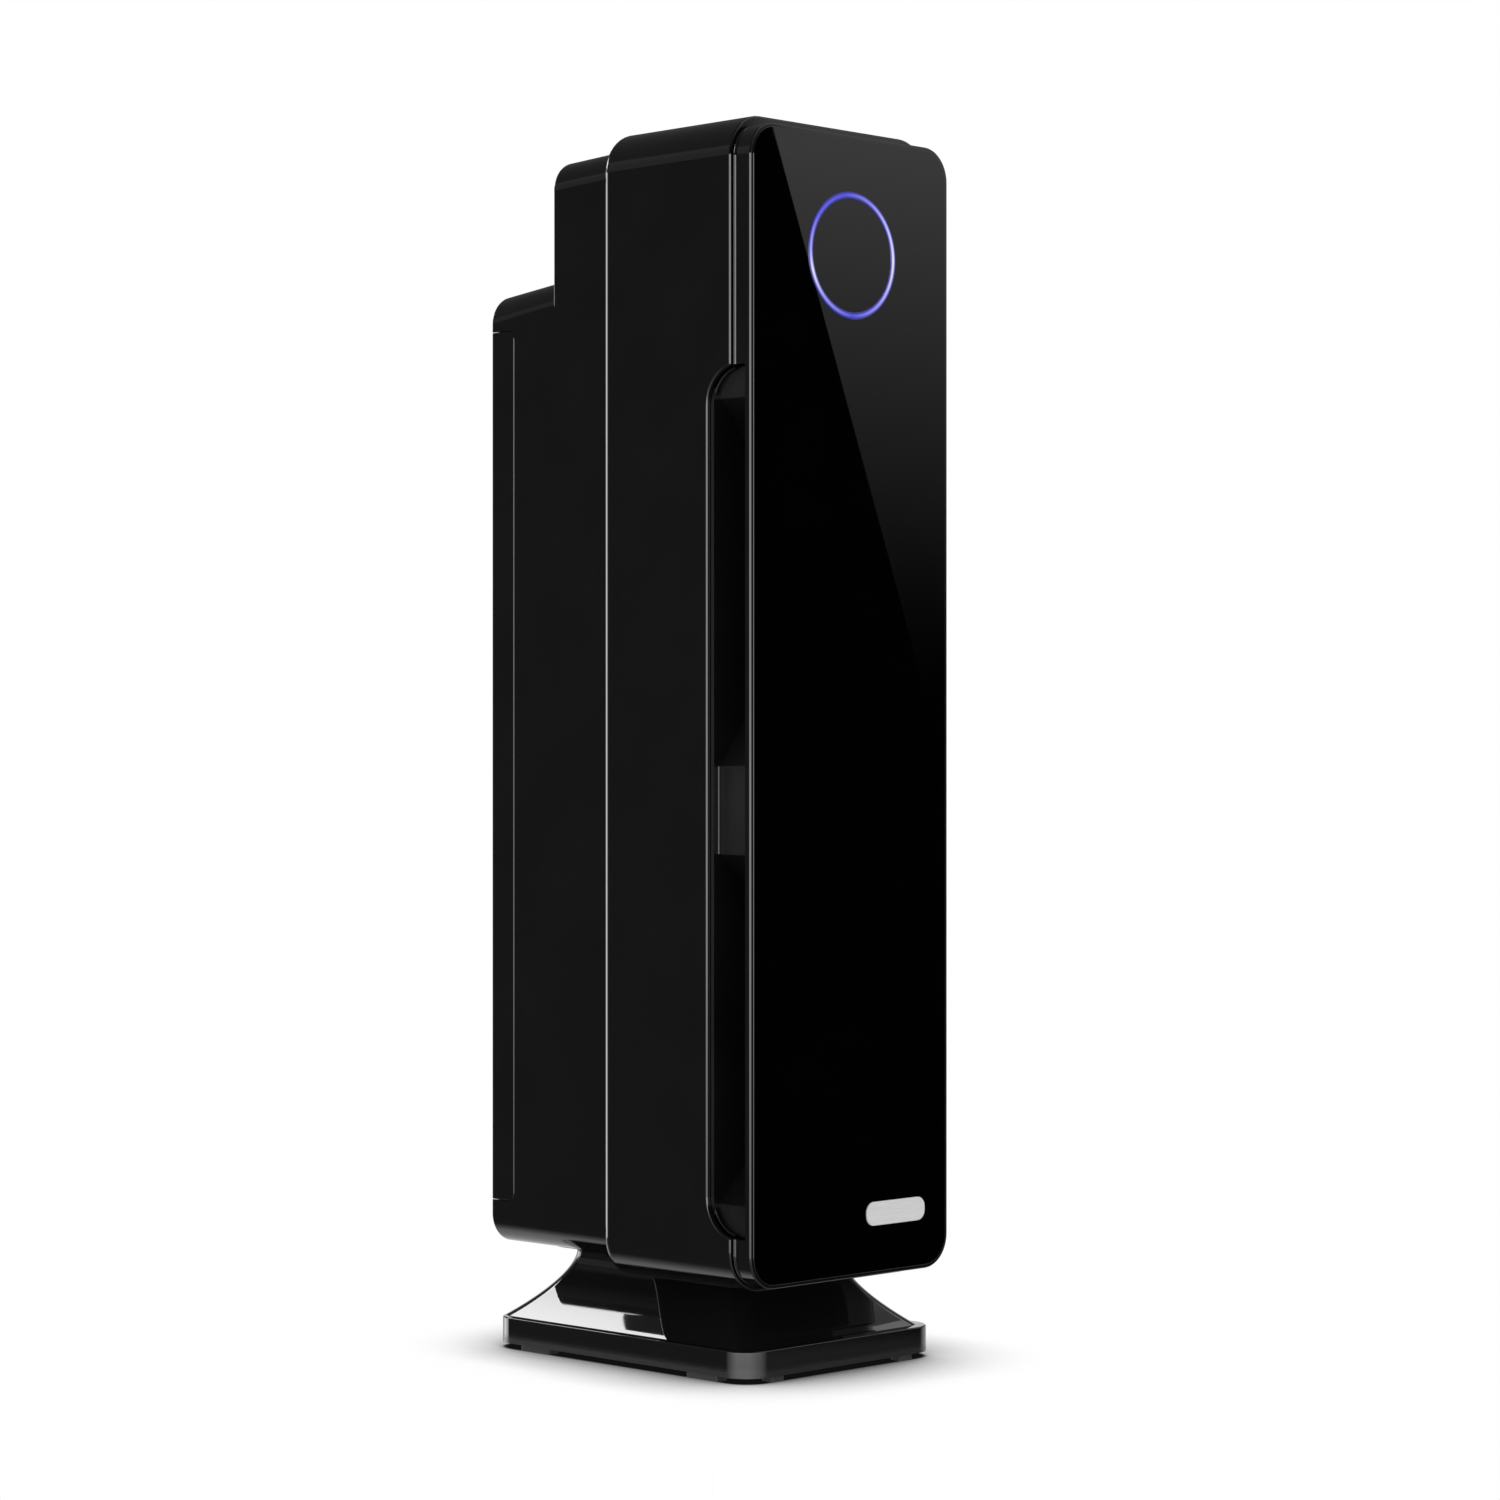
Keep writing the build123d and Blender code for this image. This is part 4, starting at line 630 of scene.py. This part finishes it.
class PURIFIER_OT_filter(bpy.types.Operator):
    """Filter pack"""
    bl_idname = "purifier.filter"
    bl_label = "Filter pack"

    def execute(self, context):
        # Laminated board frame: off-white with a papery tooth
        dress(("filter_frame",), moulded(
            "board_laminated", ("d8d5cb", "e4e1d8"), rough=(0.6, 0.75), grain_mm=0.6, depth_mm=0.05))
        # Glass-fibre paper: white, matt and slightly mottled
        dress(("filter_pleats",), moulded(
            "paper_glass_fibre", ("e6e6e2", "f2f2ee"), rough=(0.8, 0.95), grain_mm=0.5, depth_mm=0.06))
        dress(("carbon_prefilter",), carbon_foam())
        # Closed-cell foam strip: dark and matt
        dress(("filter_gasket",), moulded(
            "foam_closed_cell", ("1c1c1c", "262626"), rough=(0.8, 0.95), grain_mm=1.0, depth_mm=0.12))
        dress(("filter_tab",), woven_tape())
        return {"FINISHED"}


class PURIFIER_OT_motor(bpy.types.Operator):
    """Motor, shaft and fixings"""
    bl_idname = "purifier.motor"
    bl_label = "Motor and fixings"

    def execute(self, context):
        # Zinc-plated drawn steel: grey with faint draw lines
        dress(("motor_can", "motor_stator", "rotor_core"), worked_metal(
            "steel_zinc_plated", ("8c8e90", "a4a6a8"), rough=(0.32, 0.45), line_mm=0.8, along="Z"))
        # Turned steel: bright with fine lathe lines
        dress(("motor_shaft", "motor_standoffs", "base_screws", "neck_screws", "housing_screws"),
              worked_metal("steel_turned", ("b4b5b8", "cfd0d2"),
                           rough=(0.22, 0.34), line_mm=0.3, along="X"))
        # Turned brass: warm yellow with lathe lines
        dress(("motor_bushes", "inlet_pins"), worked_metal(
            "brass_turned", ("b8924a", "d2ad62"), rough=(0.2, 0.32), line_mm=0.3, along="X"))
        return {"FINISHED"}


class PURIFIER_OT_electrics(bpy.types.Operator):
    """Boards, lamp, switch, inlet and looms"""
    bl_idname = "purifier.electrics"
    bl_label = "Electrics"

    def execute(self, context):
        # Solder mask on a laminate board: deep green and semi-gloss
        dress(("power_board", "touch_board"), moulded(
            "laminate_solder_mask", ("0f4a22", "146030"),
            rough=(0.25, 0.4), grain_mm=1.2, depth_mm=0.02, patch_mm=8.0))
        # Potting resin: near-black with a soft gloss
        dress(("board_transformer", "uv_ballast"), moulded(
            "epoxy_potting", ("1a1a1c", "232326"), rough=(0.35, 0.5), grain_mm=1.0, depth_mm=0.03))
        # Drawn aluminium: pale and bright with faint draw lines
        dress(("run_capacitor",), worked_metal(
            "aluminium_drawn", ("c4c6c8", "dadcde"), rough=(0.25, 0.38), line_mm=0.5, along="Y"))
        # Moulded nylon: dark and slightly waxy
        dress(("interlock_switch", "uv_sockets", "mains_inlet", "board_standoffs"), moulded(
            "nylon_black", ("141414", "1b1b1b"), rough=(0.35, 0.48), grain_mm=0.8, depth_mm=0.02))
        # Moulded acetal: clear red with a smooth, waxy gloss
        dress(("interlock_plunger",), moulded(
            "acetal_red", ("b01c14", "c6261c"), rough=(0.28, 0.4), grain_mm=0.8, depth_mm=0.01))
        dress(("uv_lamp",), quartz_tube())
        # Braided sleeve over the wires: dark and dull
        dress(("motor_loom", "mains_loom"), moulded(
            "polyester_sleeve", ("151515", "242424"),
            rough=(0.6, 0.8), grain_mm=0.9, depth_mm=0.15, patch_mm=1.6))
        # Vinyl ribbon cable: grey, slightly streaked
        dress(("panel_ribbon",), moulded(
            "pvc_ribbon", ("8e9094", "a2a4a8"),
            rough=(0.4, 0.55), grain_mm=1.2, depth_mm=0.04, patch_mm=2.5))
        return {"FINISHED"}


class PURIFIER_OT_feet(bpy.types.Operator):
    """Rubber feet"""
    bl_idname = "purifier.feet"
    bl_label = "Feet"

    def execute(self, context):
        # Moulded rubber: dull black with a dusty bloom
        dress(("base_feet",), moulded(
            "rubber_black", ("1c1c1c", "262626"), rough=(0.6, 0.8), grain_mm=0.8, depth_mm=0.04))
        return {"FINISHED"}


# Floor shadow: how near the object has to be, rays per point, and tone by the share of open sky
SHADOW_REACH = 0.09
SHADOW_RAYS = 24
SHADOW_TONES = ((0.28, "101010"), (0.46, "5c5c5c"), (0.60, "a8a8a8"), (0.78, "dcdcdc"), (0.97, "ffffff"))

# Card that the front panel mirrors: distance from the camera's mirror image, corners (across, up)
# and the two heights of its fade as shares of that distance, strength, and curve of the fade
PANEL_CARD_DISTANCE = 4.8
PANEL_CARD_CORNERS = ((0.0448, 0.0150), (0.30, 0.0150), (0.30, 0.26), (-0.0211, 0.26))
PANEL_CARD_FADE = (0.008, 0.1545)
PANEL_CARD_STRENGTH = 0.78
FADE_POWER = 1.8

# Level cards that the pedestal's flare mirrors: name, finish, strength and corners (x, y)
FLARE_CARD_HEIGHT = 1.3
FLARE_CARDS = (
    ("base_card", "softbox_base", 10.5, (
        (-0.65, 1.42), (-0.36, 1.352), (-0.187, 1.318), (-0.187, 1.25), (-0.12, 1.25), (-0.12, 2.4),
        (-0.65, 2.4))),
    ("flare_card", "softbox_flare", 1.4, (
        (1.388, -0.085), (1.43, -0.10), (1.8, -0.10), (1.8, 0.3), (1.388, 0.3))),
)

# What the gloss surfaces mirror: strength, share by degrees to the left of the camera's aim,
# share by the height of the direction
ROOM_ZONES = (
    # white sweep behind, dim wall on the left, dark wall on the right
    (1.0, ((-180, 0.10), (-137, 0.0), (-76, 0.0), (-58, 1.0), (58, 1.0), (76, 0.085), (108, 0.085),
           (180, 0.10)),
     ((0.16, 1.0), (0.30, 0.0))),
    # broad soft front light
    (5.5, ((-168, 1.0), (-130, 0.6), (-94, 0.0), (93, 0.0), (118, 0.55), (141, 1.0)),
     ((-1.0, 0.07), (-0.35, 0.09), (-0.20, 0.26), (-0.165, 0.36), (-0.12, 0.58), (-0.05, 0.95),
      (0.17, 1.0), (0.20, 0.0))),
    # pale floor in front on the right
    (0.16, ((-137, 0.0), (-120, 1.0), (-70, 1.0), (-58, 0.0)),
     ((-0.16, 1.0), (-0.149, 1.0), (-0.142, 0.0))),
    # strip light behind on the left
    (3.6, ((40, 0.0), (48, 1.0), (73, 1.0), (79, 0.0)),
     ((-0.20, 0.0), (-0.165, 1.0), (0.17, 1.0), (0.20, 0.0))),
    # raised card on the right
    (0.75, ((-137, 0.0), (-115, 1.0), (-68, 1.0), (-50, 0.4), (-18, 0.0)),
     ((0.20, 0.0), (0.26, 1.0))),
    # narrow raised strip on the left
    (0.22, ((78, 0.0), (82, 1.0), (96, 1.0), (102, 0.0)),
     ((0.19, 0.0), (0.25, 1.0), (0.40, 1.0), (0.46, 0.0))),
    # ceiling
    (0.11, ((-180, 1.0), (180, 1.0)),
     ((0.28, 0.0), (0.42, 1.0))),
)

# Width of the camera's sensor in millimetres
SENSOR_WIDTH = 36.0


class PURIFIER_OT_stage(bpy.types.Operator):
    """Floor, light cards, world and camera"""
    bl_idname = "purifier.stage"
    bl_label = "Studio"

    def execute(self, context):
        stage = context.scene.purifier_stage
        lay_floor(stage)
        hang_cards(stage)
        light_world(stage)
        stand_camera(stage)
        return {"FINISHED"}


def stage_sheet(name, corners, finish):
    """Flat stage piece through its corners."""
    form = bmesh.new()
    form.faces.new([form.verts.new(corner) for corner in corners])
    data = bpy.data.meshes.new(name)
    form.to_mesh(data)
    form.free()
    data.materials.append(finish)
    sheet = bpy.data.objects.new(name, data)
    bpy.context.collection.objects.link(sheet)
    return sheet


def lay_floor(stage):
    """Pale floor: white to the camera, darker where the object stands close."""
    finish, tree, surface = start_stage_finish("paper_sweep_white")
    near = add_node(tree, "ShaderNodeAmbientOcclusion", {"Distance": SHADOW_REACH}, samples=SHADOW_RAYS)
    shade = add_node(tree, "ShaderNodeValToRGB", {"Fac": near.outputs["AO"]})
    set_stops(shade, SHADOW_TONES)
    seen = add_node(tree, "ShaderNodeEmission", {"Color": shade.outputs["Color"], "Strength": 1.0})
    matt = add_node(tree, "ShaderNodeBsdfDiffuse", {"Color": linear("f2f2f2")})
    path = add_node(tree, "ShaderNodeLightPath")
    mixed = add_node(tree, "ShaderNodeMixShader", {
        "Fac": path.outputs["Is Camera Ray"], 1: matt.outputs["BSDF"], 2: seen.outputs["Emission"]})
    tree.links.new(mixed.outputs["Shader"], surface)
    reach = stage.floor_reach
    floor = stage_sheet("floor", [
        (-reach, -reach, 0), (reach, -reach, 0), (reach, reach, 0), (-reach, reach, 0)], finish)
    floor.visible_glossy = False


def glow_card(name, strength, fade=None):
    """Emission finish for a light card; fade is (low z, high z) of a vertical fade."""
    finish, tree, surface = start_stage_finish(name)
    lamp = add_node(tree, "ShaderNodeEmission", {"Color": linear("ffffff"), "Strength": strength})
    if fade:
        place = add_node(tree, "ShaderNodeTexCoord").outputs["Object"]
        split = add_node(tree, "ShaderNodeSeparateXYZ", {"Vector": place})
        level = add_node(tree, "ShaderNodeMapRange", {
            "Value": split.outputs["Z"], "From Min": fade[0], "From Max": fade[1]})
        power = add_node(tree, "ShaderNodeMath", {0: level.outputs["Result"], 1: FADE_POWER},
                         operation="POWER")
        scaled = add_node(tree, "ShaderNodeMath", {0: power.outputs["Value"], 1: strength},
                          operation="MULTIPLY")
        tree.links.new(scaled.outputs["Value"], lamp.inputs["Strength"])
    tree.links.new(lamp.outputs["Emission"], surface)
    return finish


def hang_cards(stage):
    """Light cards that only show as reflections in the gloss surfaces."""
    eye = Vector(stage.camera_place)
    aim = Vector(stage.camera_aim).normalized()
    panel_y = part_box("front_panel")[0][1]
    mirror_eye = Vector((eye.x, 2 * panel_y - eye.y, eye.z))
    mirror_aim = Vector((aim.x, -aim.y, 0.0))
    mirror_side = Vector((aim.y, aim.x, 0.0))
    far = PANEL_CARD_DISTANCE
    cards = [stage_sheet(
        "panel_card",
        [mirror_eye + far * (mirror_aim + across * mirror_side + up * Vector((0, 0, 1)))
         for across, up in PANEL_CARD_CORNERS],
        glow_card("softbox_faded", PANEL_CARD_STRENGTH, [eye.z + far * up for up in PANEL_CARD_FADE]))]
    for name, finish, strength, corners in FLARE_CARDS:
        cards.append(stage_sheet(
            name, [(x, y, FLARE_CARD_HEIGHT) for x, y in corners], glow_card(finish, strength)))
    for card in cards:
        card.visible_camera = False
        card.visible_diffuse = False
        card.visible_shadow = False
        card.visible_transmission = False


def light_world(stage):
    """Even white room, in which gloss surfaces mirror the room zones instead."""
    world = bpy.data.worlds.new("studio_room")
    bpy.context.scene.world = world
    world.use_nodes = True
    tree = world.node_tree
    tree.nodes.remove(tree.nodes["Background"])
    aim = stage.camera_aim
    way = add_node(tree, "ShaderNodeTexCoord").outputs["Generated"]
    turned = add_node(tree, "ShaderNodeMapping", {
        "Vector": way, "Rotation": (0.0, 0.0, -math.atan2(aim[1], aim[0]))})
    turn = add_node(tree, "ShaderNodeTexGradient", {"Vector": turned.outputs["Vector"]},
                    gradient_type="RADIAL").outputs["Fac"]
    height = add_node(tree, "ShaderNodeSeparateXYZ", {"Vector": way}).outputs["Z"]
    rise = add_node(tree, "ShaderNodeMapRange", {"Value": height, "From Min": -1.0}).outputs["Result"]
    total = None
    for strength, sides, heights in ROOM_ZONES:
        across = add_node(tree, "ShaderNodeValToRGB", {"Fac": turn})
        set_stops(across, [(0.5 + angle / 360, share) for angle, share in sides])
        up = add_node(tree, "ShaderNodeValToRGB", {"Fac": rise})
        set_stops(up, [(0.5 + z / 2, share) for z, share in heights])
        zone = add_node(tree, "ShaderNodeMath", {0: across.outputs["Color"], 1: up.outputs["Color"]},
                        operation="MULTIPLY").outputs["Value"]
        total = add_node(tree, "ShaderNodeMath", {0: zone, 1: strength, 2: total or 0.0},
                         operation="MULTIPLY_ADD").outputs["Value"]
    mirrored = add_node(tree, "ShaderNodeBackground", {"Color": linear("ffffff"), "Strength": total})
    # The camera sees plain white, and the object is lit at the room's own strength
    path = add_node(tree, "ShaderNodeLightPath")
    level = add_node(tree, "ShaderNodeMapRange", {
        "Value": path.outputs["Is Camera Ray"], "To Min": stage.room, "To Max": 1.0})
    plain = add_node(tree, "ShaderNodeBackground", {
        "Color": linear("ffffff"), "Strength": level.outputs["Result"]})
    mixed = add_node(tree, "ShaderNodeMixShader", {
        "Fac": path.outputs["Is Glossy Ray"], 1: plain.outputs["Background"],
        2: mirrored.outputs["Background"]})
    tree.links.new(mixed.outputs["Shader"], tree.nodes["World Output"].inputs["Surface"])


def stand_camera(stage):
    """Level camera at the viewing angle of the object."""
    lens = bpy.data.cameras.new("camera")
    lens.sensor_width = SENSOR_WIDTH
    lens.lens = stage.lens
    lens.dof.use_dof = False
    eye = bpy.data.objects.new("camera", lens)
    bpy.context.collection.objects.link(eye)
    eye.location = stage.camera_place
    eye.rotation_euler = Vector(stage.camera_aim).to_track_quat("-Z", "Y").to_euler()
    scene = bpy.context.scene
    scene.camera = eye
    scene.view_settings.view_transform = "Standard"


class PURIFIER_PT_panel(bpy.types.Panel):
    """Sizes, tones and steps of the purifier"""
    bl_label = "Purifier"
    bl_idname = "PURIFIER_PT_panel"
    bl_space_type = "VIEW_3D"
    bl_region_type = "UI"
    bl_category = "Purifier"

    def draw(self, context):
        for name in GROUPS:
            group = getattr(context.scene, name)
            box = self.layout.box()
            for key in group.__annotations__:
                box.prop(group, key)
        for step in STEPS:
            self.layout.operator(step.bl_idname)


GROUPS = {
    "purifier_finish": PurifierFinish,
    "purifier_pedestal": PurifierPedestal,
    "purifier_slot": PurifierSlot,
    "purifier_stage": PurifierStage,
}
STEPS = (
    PURIFIER_OT_shells,
    PURIFIER_OT_pedestal,
    PURIFIER_OT_slot_lips,
    PURIFIER_OT_panel,
    PURIFIER_OT_ring,
    PURIFIER_OT_badge,
    PURIFIER_OT_air_path,
    PURIFIER_OT_filter,
    PURIFIER_OT_motor,
    PURIFIER_OT_electrics,
    PURIFIER_OT_feet,
    PURIFIER_OT_stage,
)
CLASSES = (*GROUPS.values(), *STEPS, PURIFIER_PT_panel)


def register():
    for item in CLASSES:
        bpy.utils.register_class(item)
    for name, group in GROUPS.items():
        setattr(bpy.types.Scene, name, bpy.props.PointerProperty(type=group))


def unregister():
    for name in GROUPS:
        delattr(bpy.types.Scene, name)
    for item in reversed(CLASSES):
        bpy.utils.unregister_class(item)


def main():
    register()
    for step in STEPS:
        group, name = step.bl_idname.split(".")
        getattr(getattr(bpy.ops, group), name)()


if __name__ == "__main__":
    main()
